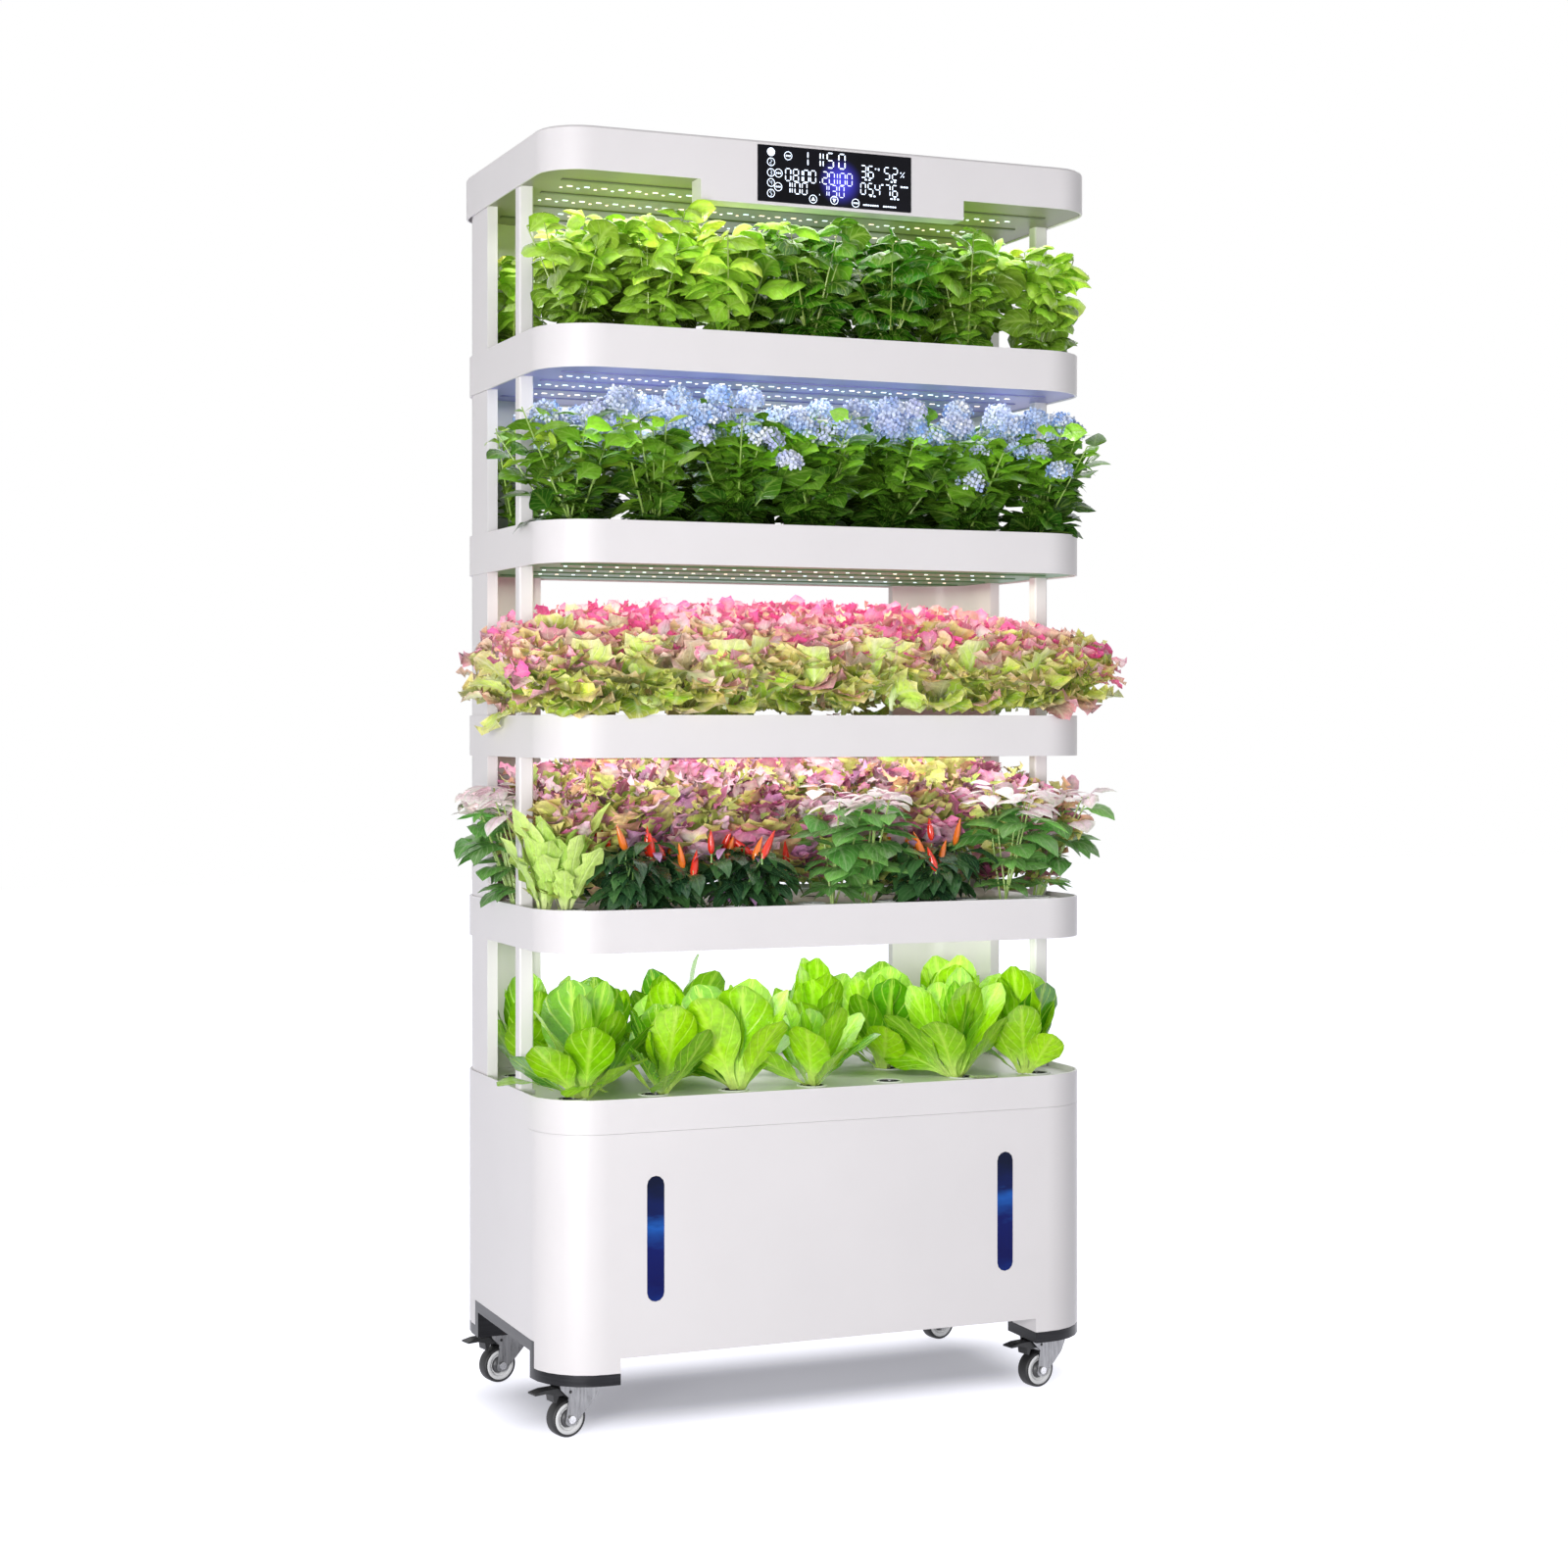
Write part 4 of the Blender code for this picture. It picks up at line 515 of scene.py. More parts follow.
# Each kind's outline is its half width from stalk to tip, as (place, share) points
LEAF_KINDS = {
    "basil": {"rows": 7, "columns": 7, "fold": 0.72, "crown": -0.98, "ruffle": 0.028, "waves": 1.6,
              "tip": 0.85,
              "outline": [(0, 0.04), (0.10, 0.05), (0.17, 0.45), (0.30, 0.90), (0.48, 1.0), (0.68, 0.86),
                          (0.86, 0.48), (1.0, 0.02)]},
    "willow": {"rows": 7, "columns": 3, "fold": 0.25, "crown": -0.2, "ruffle": 0.02, "waves": 1.2,
               "outline": [(0, 0.08), (0.15, 0.35), (0.45, 1.0), (0.70, 0.85), (0.90, 0.35), (1.0, 0.02)]},
    "round": {"rows": 7, "columns": 5, "fold": 0.45, "crown": -0.55, "ruffle": 0.03, "waves": 1.5,
              "outline": [(0, 0.05), (0.14, 0.06), (0.22, 0.55), (0.36, 0.95), (0.52, 1.0), (0.72, 0.76),
                          (0.90, 0.32), (1.0, 0.02)]},
    "frill": {"rows": 15, "columns": 9, "fold": 0.10, "crown": 0.12, "ruffle": 0.125, "ruffle_power": 1.9,
              "waves": 6.6, "jag": 0.20, "tip": 0.72, "stalk": 0.5,
              "outline": [(0, 0.10), (0.15, 0.18), (0.32, 0.48), (0.50, 0.82), (0.70, 1.0), (0.88, 0.92),
                          (0.96, 0.70), (1.0, 0.40)]},
    "tuft": {"rows": 6, "columns": 5, "fold": 0.05, "crown": 0.25, "ruffle": 0.13, "ruffle_power": 1.6,
             "waves": 2.2, "jag": 0.22, "tip": 0.5, "stalk": 0.3,
             "outline": [(0, 0.12), (0.25, 0.45), (0.50, 0.85), (0.75, 1.0), (0.92, 0.80), (1.0, 0.40)]},
    "oak": {"rows": 10, "columns": 5, "fold": 0.08, "crown": 0.15, "ruffle": 0.12, "ruffle_power": 1.8,
            "waves": 3.1, "jag": 0.10, "tip": 0.6, "stalk": 0.35,
            "outline": [(0, 0.10), (0.20, 0.22), (0.32, 0.62), (0.42, 0.40), (0.55, 0.95), (0.66, 0.60),
                        (0.78, 1.0), (0.88, 0.70), (0.95, 0.62), (1.0, 0.20)]},
    "spoon": {"rows": 13, "columns": 7, "fold": 0.20, "crown": -0.12, "ruffle": 0.030, "waves": 2.4,
              "tip": 0.9, "stalk": 0.42, "bend": 1.4,
              "outline": [(0, 0.17), (0.12, 0.15), (0.22, 0.24), (0.34, 0.58), (0.47, 0.90), (0.60, 1.0),
                          (0.74, 0.97), (0.85, 0.82), (0.93, 0.58), (0.98, 0.32), (1.0, 0.12)]},
    "chili": {"rows": 7, "columns": 5, "fold": 0.28, "crown": -0.25, "ruffle": 0.04, "waves": 1.4,
              "outline": [(0, 0.05), (0.10, 0.06), (0.22, 0.50), (0.40, 1.0), (0.65, 0.78), (0.88, 0.30),
                          (1.0, 0.01)]},
}


def smooth_step(value, low, high):
    share = np.clip((value - low) / (high - low), 0, 1)
    return share * share * (3 - 2 * share)


def per_leaf(value, *shape):
    """A value for each leaf, whether it is given once for all or leaf by leaf."""
    return np.broadcast_to(np.asarray(value, float), shape).astype(float)


def grid_faces(rows, columns, count):
    """The quads of count point grids that lie one after another."""
    row, column = np.meshgrid(np.arange(rows - 1), np.arange(columns - 1), indexing="ij")
    first = (row * columns + column).ravel()
    quads = np.stack([first, first + 1, first + columns + 1, first + columns], 1)
    return repeat_faces(quads, rows * columns, count)


def outside_body(x, y):
    """How far points in plan lie outside the body's outline; inside it is negative."""
    dx = np.abs(x) - (HALF_WIDTH - BODY_CORNER_R)
    dy = np.abs(y) - (HALF_DEPTH - BODY_CORNER_R)
    far = np.hypot(np.maximum(dx, 0), np.maximum(dy, 0))
    return far + np.minimum(np.maximum(dx, dy), 0) - BODY_CORNER_R


def in_uprights(points, margin=0.003):
    """True where a point lies in a front post or the riser pipe, or in or behind a rear column."""
    x, y = np.abs(points[..., 0]), points[..., 1]
    post = (np.abs(x - POST_X) < POST_HALF + margin) & (np.abs(y - POST_Y) < POST_HALF + margin)
    side = (x > COLUMN_HIGH.x - COLUMN_WALL - margin) & (y > COLUMN_LOW.y - margin)
    back = (x > COLUMN_LOW.x - margin) & (y > COLUMN_HIGH.y - COLUMN_WALL - margin)
    pipe = np.hypot(points[..., 0] - PIPE_X, y - PIPE_Y) < PIPE_R + margin
    return post | side | back | pipe


class Foliage:
    """Collects the leaves, stems and flowers of one tier into one mesh."""

    def __init__(self, tier):
        self.tier = tier
        self.floor, self.rim = FLOORS[tier - 1], RIMS[tier - 1]
        self.ceiling = CEILINGS[tier - 1] - CEILING_GAP
        self.left, self.right = REACHES[tier - 1]
        self.points, self.faces, self.tints, self.places = [], [], [], []
        self.count = 0

    def store(self, points, faces, tints, places):
        self.points.append(points.reshape(-1, 3))
        self.faces.append(faces + self.count)
        self.tints.append(tints.reshape(-1, 3))
        self.places.append(places.reshape(-1, 3))
        self.count += len(self.points[-1])

    def free(self, points):
        """True for each leaf or stem that stays inside the tier's reach and clear of the uprights."""
        x = points[..., 0].reshape(len(points), -1)
        y = points[..., 1].reshape(len(points), -1)
        in_reach = (x.min(1) > self.left) & (x.max(1) < self.right) & (np.abs(y).max(1) < REACH_Y)
        return in_reach & ~in_uprights(points).reshape(len(points), -1).any(1)

    def settle(self, points):
        """Lays leaves on the rim and the board and keeps them under the lamps and the top tier's pod."""
        x, y, z = points[..., 0], points[..., 1], points[..., 2]
        outside = outside_body(x, y)
        over_rim = (outside > RIM_BAND[0]) & (outside < RIM_BAND[1])
        lowest = np.where(outside < 0, self.floor + FLOOR_GAP, NO_LIMIT)
        lowest = np.where(over_rim, self.rim + RIM_GAP, lowest)
        covered = outside < SIDE_GAP
        if self.tier == 5:
            covered |= (np.abs(x) < POD_HALF + SIDE_GAP) & (y < POD_REAR_Y + SIDE_GAP)
        z = np.maximum(z, lowest)
        points[..., 2] = np.where(covered, np.minimum(z, self.ceiling), z)

    def leaves(self, kind, base, azimuth, start, end, length, width, body, edge, root, roll):
        """Many leaves of one kind. start and end are the midrib's rise at the stalk and the tip."""
        shape = LEAF_KINDS[kind]
        count, rows, columns = len(base), shape["rows"], shape["columns"]
        azimuth, start, end, length, width, roll = (
            per_leaf(value, count) for value in (azimuth, start, end, length, width, roll))
        t, u = np.linspace(0, 1, rows), np.linspace(-1, 1, columns)

        rise = (start[:, None] + (end - start)[:, None] * t ** shape.get("bend", 1.0))[..., None]
        flat = np.c_[heading(azimuth), np.zeros(count)][:, None]
        side = np.cross(UP, flat)
        ahead = np.cos(rise) * flat + np.sin(rise) * UP
        above = -np.sin(rise) * flat + np.cos(rise) * UP
        cos_roll, sin_roll = np.cos(roll)[:, None, None], np.sin(roll)[:, None, None]
        turned_side = cos_roll * side + sin_roll * above
        turned_up = -sin_roll * side + cos_roll * above
        step = (ahead[:, 1:] + ahead[:, :-1]) / 2 * (length / (rows - 1))[:, None, None]
        middle = np.concatenate([np.zeros((count, 1, 3)), np.cumsum(step, 1)], 1) + base[:, None]

        half = (np.interp(t, *zip(*shape["outline"])) * width[:, None] / 2)[..., None]
        phase = random.uniform(0, math.tau, (count, 1, 1))
        beat = math.tau * shape["waves"] * t[None, :, None] + phase + math.pi * 0.55 * (u > 0)
        wide = width[:, None, None]
        grown = np.sqrt(np.clip(half / (wide / 2 + 1e-9), 0, 1))
        ruffle = wide * shape["ruffle"] * np.abs(u) ** shape.get("ruffle_power", 2.0) * grown
        lift = half * (shape["fold"] * np.abs(u) + shape["crown"] * u * u)
        lift = lift + ruffle * (np.sin(beat) + 0.45 * np.sin(2.3 * beat + 1.7 * phase))
        across = half * u * (1 + shape.get("jag", 0.0) * np.sin(1.9 * beat + 2.1) * np.abs(u))
        along = ruffle * 0.6 * np.cos(1.3 * beat)
        points = middle[:, :, None] + across[..., None] * turned_side[:, :, None]
        points = points + lift[..., None] * turned_up[:, :, None] + along[..., None] * ahead[:, :, None]
        self.settle(points)

        to_side = np.abs(u) ** 3 * smooth_step(t, 0.1, 0.5)[:, None]
        to_tip = smooth_step(t, shape.get("tip", 0.7), 1.05)[:, None]
        at_edge = np.clip(np.maximum(to_side, to_tip), 0, 1)[None, ..., None]
        at_root = (1 - smooth_step(t, 0.0, shape.get("stalk", 0.35)))[None, :, None, None]
        body, edge, root = (per_leaf(colour, count, 3)[:, None, None] for colour in (body, edge, root))
        tints = (body * (1 - at_edge) + edge * at_edge) * (1 - at_root) + root * at_root
        chance = random.uniform(0, 1, (count, 1, 1))
        places = np.stack(np.broadcast_arrays(u[None, None, :], t[None, :, None], chance), -1)
        keep = self.free(points)
        self.store(points[keep], grid_faces(rows, columns, keep.sum()), tints[keep], places[keep])

    def stems(self, paths, radius, tint, sides=5, profile=(1.0, 0.6)):
        """Round stems along paths, given as (stem, point, 3), whose radius follows profile."""
        keep = self.free(paths)
        radius, tint = per_leaf(radius, len(paths))[keep], per_leaf(tint, len(paths), 3)[keep]
        paths = paths[keep]
        count, length = paths.shape[:2]
        ahead = unit(np.gradient(paths, axis=1))
        side = unit(np.cross(ahead, np.array([0.31, 0.95, 0.05])))
        other = np.cross(ahead, side)
        angles = np.linspace(0, math.tau, sides + 1)[:, None]
        shares = np.interp(np.linspace(0, 1, length), np.linspace(0, 1, len(profile)), profile)
        ring = np.cos(angles) * side[:, :, None] + np.sin(angles) * other[:, :, None]
        points = paths[:, :, None] + ring * (shares[None, :, None, None] * radius[:, None, None, None])
        places = np.zeros(points.shape)
        places[..., 0] = 1.0
        tints = np.broadcast_to(tint[:, None, None], points.shape)
        self.store(points, grid_faces(length, sides + 1, count), tints, places)

    def finish(self, name, material, replaced=None):
        """Makes the mesh with its colours and leaf places, and lets it ride on the rack."""
        made = new_mesh(name, np.concatenate(self.points), np.concatenate(self.faces).tolist(), material)
        write_tints(made, np.concatenate(self.tints))
        place = made.data.attributes.new("leaf_place", "FLOAT_VECTOR", "POINT")
        place.data.foreach_set("vector", np.concatenate(self.places).astype(np.float32).ravel())
        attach(made, RACK)
        if replaced:
            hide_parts(replaced)


def planting_places():
    """The holes of one tier: rows of 7, 6 and 7, front to rear."""
    return np.array([((hole - (count - 1) / 2) * HOLE_PITCH, y)
                     for count, y in zip(HOLE_COUNTS, HOLE_ROWS) for hole in range(count)])


def spread_stems(foliage, places, each, spread, overhang, heights, sink=0.12):
    """Stems, (stem, step, 3), that spread out of each hole and lean out more near the tier's edges, clear of
    the uprights, and the way that each one leans."""
    foot = np.repeat(places, each, 0)
    count = len(foot)
    turn = random.uniform(0, math.tau, count)
    offset = heading(turn) * (spread * np.sqrt(random.uniform(0, 1, count)))[:, None]
    off_middle = foot - (0, PLANTS_MIDDLE_Y)
    near_edge = np.clip(np.abs(off_middle) / (3 * HOLE_PITCH, ROW_PITCH), 0, 1) ** (6, 2)
    share = random.uniform(0, 1, count)
    offset += np.sign(off_middle) * near_edge * overhang * share[:, None]
    height = random.uniform(*heights, count) * (1 - sink * share * near_edge.max(1))
    t = np.linspace(0, 1, STEM_STEPS)
    ease = 1.25 * t - 0.25 * t ** 2
    plan = foot[:, None] + random.normal(0, 0.004, (count, 1, 2)) + offset[:, None] * ease[None, :, None]
    z = foliage.floor - 0.004 + height[:, None] * (t[None] - 0.10 * t[None] ** 3)
    paths = np.concatenate([plan, z[..., None]], -1)
    clear = ~in_uprights(paths).any(1)
    return paths[clear], np.arctan2(offset[:, 1], offset[:, 0])[clear]


def along_stem(paths, share):
    """The points at a share of the stems' lengths."""
    spot = share * (STEM_STEPS - 1)
    low = min(int(spot), STEM_STEPS - 2)
    return paths[:, low] * (1 - (spot - low)) + paths[:, low + 1] * (spot - low)


def mixed(first, second, share):
    return np.asarray(first) * (1 - share)[:, None] + np.asarray(second) * share[:, None]


def uneven(count, spread, low=0.5, high=1.7, middle=0.0):
    """A brightness for each leaf, as a column."""
    return np.clip(np.exp(random.normal(middle, spread, count)), low, high)[:, None]


def leaf_brightness(base, share, spread=0.26):
    """How bright each leaf is: an uneven tone, with painted shade that darkens it deep inside the crop and
    towards the foot of its stem.
    """
    outer = 1 - smooth_step(-outside_body(base[:, 0], base[:, 1]), 0.060, 0.150)
    lit = np.maximum(outer * (0.40 + 0.60 * share), smooth_step(share, 0.55, 1.0))
    return (0.26 + 0.90 * lit)[:, None] * uneven(len(base), spread)


def pick_colours(palette, weights, count):
    """A (body, edge) pair of the palette for each leaf."""
    return np.array(palette)[random.choice(len(palette), count, p=np.array(weights) / sum(weights))]


def ring_places(count, inset_x, inset_y):
    """Random places along the body's outline moved in by the insets, and the way out at each."""
    half_x, half_y = HALF_WIDTH - inset_x, HALF_DEPTH - inset_y
    radius = max(BODY_CORNER_R - inset_y, 0.02)
    on_long = random.uniform(0, half_x + half_y, count) < half_x
    x = np.where(on_long, random.uniform(-half_x, half_x, count), half_x * random.choice((-1, 1), count))
    y = np.where(on_long, half_y * random.choice((-1, 1), count), random.uniform(-half_y, half_y, count))
    dx = np.maximum(np.abs(x) - (half_x - radius), 0)
    dy = np.maximum(np.abs(y) - (half_y - radius), 0)
    corner = (dx > 0) & (dy > 0)
    far = np.where(corner, np.hypot(dx, dy), 1)
    x = np.where(corner, np.sign(x) * (half_x - radius + dx / far * radius), x)
    y = np.where(corner, np.sign(y) * (half_y - radius + dy / far * radius), y)
    out_x = np.where(corner, np.sign(x) * dx, np.where(on_long, 0, np.sign(x)))
    out_y = np.where(corner, np.sign(y) * dy, np.where(on_long, np.sign(y), 0))
    return np.stack([x * (1 - 0.10 * smooth_step(y, -0.04, 0.20)), y], 1), np.arctan2(out_y, out_x)


def rosettes(places, each, spread=0.010):
    """The feet of rosettes' leaves, their ways out, and their shares from the outermost to the innermost."""
    order = np.tile(np.arange(each), len(places))
    turn = order * GOLDEN_TURN + np.repeat(random.uniform(0, math.tau, len(places)), each)
    share = order / (each - 1)
    foot = np.repeat(places, each, 0) + heading(turn) * spread * (1 - share)[:, None]
    return foot, turn, share


def sprig(foliage, kind, base, way, rises, droops, length, slims, tones, twist, slim=1.0):
    """Leaves on stems. Their rise at the stalk and the tip, slimness and twist vary within the ranges, and
    tones are their body, edge and root colours."""
    count = len(base)
    start, end = random.uniform(*rises, count), random.uniform(*droops, count)
    width = length * slim * random.uniform(*slims, count)
    foliage.leaves(kind, base, way, start, end, length, width, *tones, random.normal(0, twist, count))


def lettuce_layers(foliage, kind, layers, palette):
    """Leaves that stand out all round the tray, layer upon layer, each as a ring of leaf tips.

    A layer holds its count, its tips' insets in x and y and their height, the leaves' length, rise and
    droop, and the weights of the palette's pairs of body and edge colours.
    """
    for count, inset_x, inset_y, height, length, rise, droop, weights in layers:
        tip, out = ring_places(count, inset_x, inset_y)
        size = length * random.uniform(0.75, 1.20, count)
        slope = rise - droop / 2
        way = out + random.normal(0, 0.35, count)
        foot = tip - heading(way) * (size * math.cos(slope))[:, None]
        level = foliage.floor + height - size * math.sin(slope) + random.normal(0, 0.006, count)
        colours = pick_colours(palette, weights, count)
        body = colours[:, 0] * uneven(count, 0.38, 0.38, 1.25, -0.08)
        start = rise + random.normal(0, 0.14, count)
        end = start - droop * random.uniform(0.7, 1.3, count)
        # Each leaf darkens towards its base, as painted shade.
        foliage.leaves(kind, np.c_[foot, np.maximum(level, foliage.floor + 0.002)], way, start, end, size,
                       size * random.uniform(0.60, 0.85, count), body, colours[:, 1], body * LETTUCE_BASE_PAINTED_SHADE,
                       random.normal(0, 0.25, count))


def feature_leaves(foliage, kind, places, length, width, rise, droop, body, edge, root):
    """Single large leaves that stand out from the rest, at (x, y, height, way)."""
    places = np.array(places)
    count = len(places)
    start = rise + random.normal(0, 0.06, count)
    foliage.leaves(kind, places[:, :3] + (0, 0, foliage.floor), places[:, 3], start, start - droop,
                   length * random.uniform(0.9, 1.1, count), width * random.uniform(0.9, 1.1, count),
                   body, edge, root, random.normal(0, 0.15, count))


def scatter_tufts(foliage, kind, count, box, crown, sizes, palette, weights, dome_x=0.52, tilt=(0.3, 1.4)):
    """Small crinkled leaf tips over a domed top. palette holds pairs of body and edge colours."""
    low_x, high_x, low_y, high_y = box
    x, y = random.uniform(low_x, high_x, count), random.uniform(low_y, high_y, count)
    dome = 1 - 0.40 * (np.abs(x) / dome_x) ** 4
    dome -= 0.30 * np.clip((-y - 0.02) / 0.18, 0, 1) ** 2 + 0.20 * np.clip((y - 0.08) / 0.14, 0, 1) ** 2
    base = np.c_[x, y, foliage.floor + crown * dome + random.uniform(-0.026, 0.004, count)]
    colours = pick_colours(palette, weights, count)
    body = colours[:, 0] * random.uniform(0.75, 1.15, count)[:, None]
    size = random.uniform(*sizes, count)
    start = random.uniform(*tilt, count)
    way = random.uniform(0, math.tau, count)
    foliage.leaves(kind, base, way, start, start - random.uniform(0.1, 0.9, count), size,
                   size * random.uniform(0.75, 1.15, count), body, colours[:, 1], body * 0.7,
                   random.normal(0, 0.5, count))


# Crops


def grow_basil():
    """Tier 5: bushy basil, lime at both ends, deeper green in the middle."""
    foliage = Foliage(5)
    paths, azimuth = spread_stems(foliage, planting_places(), 8, 0.074, 0.026, (0.144, 0.190), 0.06)
    foliage.stems(paths, random.uniform(0.0011, 0.0017, len(paths)), (0.30, 0.42, 0.08))
    for level, (share, size) in enumerate([(0.14, 0.045), (0.32, 0.053), (0.49, 0.059), (0.65, 0.062),
                                           (0.80, 0.058), (0.93, 0.046), (1.0, 0.030)]):
        base = along_stem(paths, share)
        count = len(base)
        turn = azimuth + level * math.pi / 2 + random.normal(0, 0.5, count)
        lime = smooth_step(-base[:, 0], -0.02, 0.16) + 0.85 * smooth_step(base[:, 0], 0.14, 0.32) + 0.08
        for way in (turn, turn + math.pi):
            # The lime share drops towards the foot of the stem, as painted shade.
            light = np.clip(lime + random.normal(0, 0.15, count), 0, 1) * (0.30 + 0.70 * share)
            body = mixed((0.042, 0.215, 0.006), (0.54, 0.86, 0.075), light)
            body = body * leaf_brightness(base, share, 0.38)
            length = size * random.uniform(0.70, 1.18, count)
            sprig(foliage, "basil", base, way, (0.15, 0.95), (-1.45, -0.15), length, (0.68, 0.82),
                  (body, body * 1.18, body * 0.85), 0.45)
    skin = leaf_material("scene_basil_leaf", (0.66, 0.88, 0.20), 0.32, 5, 0.24, 0.35, 0.35, 0.04)
    foliage.finish("basil_plants", skin, "crop_5_basil")


def grow_hydrangea():
    """Tier 4: hydrangeas, willow-like shoots at the left, round dark leaves and pale blue flower heads."""
    foliage = Foliage(4)
    paths, azimuth = spread_stems(foliage, planting_places(), 11, 0.080, 0.042, (0.130, 0.184), 0.06)
    foliage.stems(paths, random.uniform(0.0012, 0.0019, len(paths)), (0.30, 0.46, 0.10))
    narrow = (paths[:, 0, 0] < -0.12) & (random.uniform(0, 1, len(paths)) < 0.70)
    kinds = [("willow", narrow, 0.050, 0.28, (0.075, 0.23, 0.010), (0.48, 0.74, 0.060)),
             ("round", ~narrow, 0.056, 0.66, (0.024, 0.110, 0.008), (0.28, 0.60, 0.035))]
    for level, share in enumerate(np.linspace(0.06, 0.95, 9)):
        base = along_stem(paths, share)
        turn = azimuth + level * 1.35 + random.normal(0, 0.4, len(base))
        shorter = 1 - 0.32 * smooth_step(share, 0.70, 0.95)
        for way, (kind, chosen, size, slim, dark_green, light_green) in itertools.product(
                (turn, turn + math.pi), kinds):
            here = base[chosen]
            light = np.clip(share * random.uniform(0.1, 1.5, len(here)), 0, 1)
            body = mixed(dark_green, light_green, light) * leaf_brightness(here, share)
            length = size * random.uniform(0.65, 1.25, len(here)) * shorter
            sprig(foliage, kind, here, way[chosen], (0.3, 1.1), (-1.0, 0.2), length, (0.85, 1.15),
                  (body, body * 1.15, body * 1.3), 0.45, slim)
    skin = leaf_material("scene_hydrangea_leaf", (0.48, 0.72, 0.14), 0.28, 5, 0.24, 0.40, 0.30, 0.03)
    foliage.finish("hydrangea_leaves", skin, "crop_4_hydrangea")
    grow_flower_heads(paths)


def flower_heads(flowers, paths):
    """The middles and radii of the flower heads on the stems' tips, and of those hung along the front."""
    tips = paths[:, -1]
    tips = tips[random.uniform(0, 1, len(tips)) < np.where(tips[:, 1] < 0.02, 0.72, 0.50)]
    inside = (tips[:, 0] > flowers.left + HEAD_ROOM) & (tips[:, 0] < flowers.right - HEAD_ROOM)
    tips = tips[inside & (np.abs(tips[:, 1]) < REACH_Y - HEAD_ROOM)]
    radius = random.uniform(0.015, 0.025, len(tips))
    top = flowers.ceiling - 0.008
    tips[:, 2] = np.minimum(tips[:, 2] + random.uniform(0.008, 0.024, len(tips)), top - radius)
    droop = random.uniform(0, 1, len(tips)) < 0.20
    tips[:, 2] -= droop * random.uniform(0.015, 0.060, len(tips))
    tips[:, :2] *= 1 + np.outer(droop, (0.02, 0.10))
    hung = np.c_[random.uniform(-0.34, 0.39, FRONT_HEADS), random.uniform(-0.214, -0.196, FRONT_HEADS),
                 top - random.uniform(0.020, 0.052, FRONT_HEADS)]
    hung[::4, 2] -= random.uniform(0.010, 0.045, len(hung[::4]))
    heads = np.concatenate([tips, hung])
    radius = np.append(radius, random.uniform(0.014, 0.022, FRONT_HEADS))
    clear = ~in_uprights(heads, radius + 0.004)
    return heads[clear], radius[clear]


def grow_flower_heads(paths):
    """Domes of small four-petalled flowers."""
    flowers = Foliage(4)
    heads, radius = flower_heads(flowers, paths)
    turn = np.arange(FLORETS) * GOLDEN_TURN
    rise = np.arcsin(np.linspace(0.98, -0.30, FLORETS))
    way = np.c_[heading(turn) * np.cos(rise)[:, None], np.sin(rise) * 0.85]
    swell = random.uniform(0.86, 1.06, (len(heads), FLORETS, 1))
    middle = (heads[:, None] + way[None] * radius[:, None, None] * swell).reshape(-1, 3)
    count = len(middle)
    out = unit(np.tile(way, (len(heads), 1)) + random.normal(0, 0.22, (count, 3)))
    hue = np.repeat(random.uniform(0, 1, len(heads)), FLORETS)
    # Florets are unevenly pale, and paler where they face up: painted light from above.
    pale = np.clip(random.normal(0.40, 0.30, count) + 0.20 * out[:, 2], 0, 1)
    tint = mixed(mixed((0.24, 0.46, 0.90), (0.52, 0.56, 0.90), hue), (0.90, 0.94, 1.0), pale)
    first = unit(np.cross(out, np.array([0.2, 0.3, 0.93])))
    second = np.cross(out, first)
    spin = random.uniform(0, math.tau, count)[:, None]
    size = random.uniform(0.0050, 0.0074, count)[:, None]
    # A petal's corners, as shares along, across and out of the flower, and their brightness
    corners = [(0.10, 0.0, 0.0, 0.66), (0.55, -0.42, 0.10, 0.92), (1.0, -0.22, 0.30, 1.08),
               (1.0, 0.22, 0.30, 1.08), (0.55, 0.42, 0.10, 0.92)]
    for angle in (spin + petal * math.pi / 2 for petal in range(4)):
        along = np.cos(angle) * first + np.sin(angle) * second
        across = np.cos(angle) * second - np.sin(angle) * first
        points = np.stack([middle + size * (a * along + b * across + c * out)
                           for a, b, c, share in corners], 1)
        keep = flowers.free(points) & (points[..., 2].max(1) < flowers.ceiling)
        faces = np.arange(keep.sum() * 5).reshape(-1, 5)
        shades = np.stack([tint[keep] * share for a, b, c, share in corners], 1)
        flowers.store(points[keep], faces, shades, np.tile((1.0, 0.5, 0.5), (keep.sum(), 5, 1)))
    flowers.finish("hydrangea_flowers", petal_material())


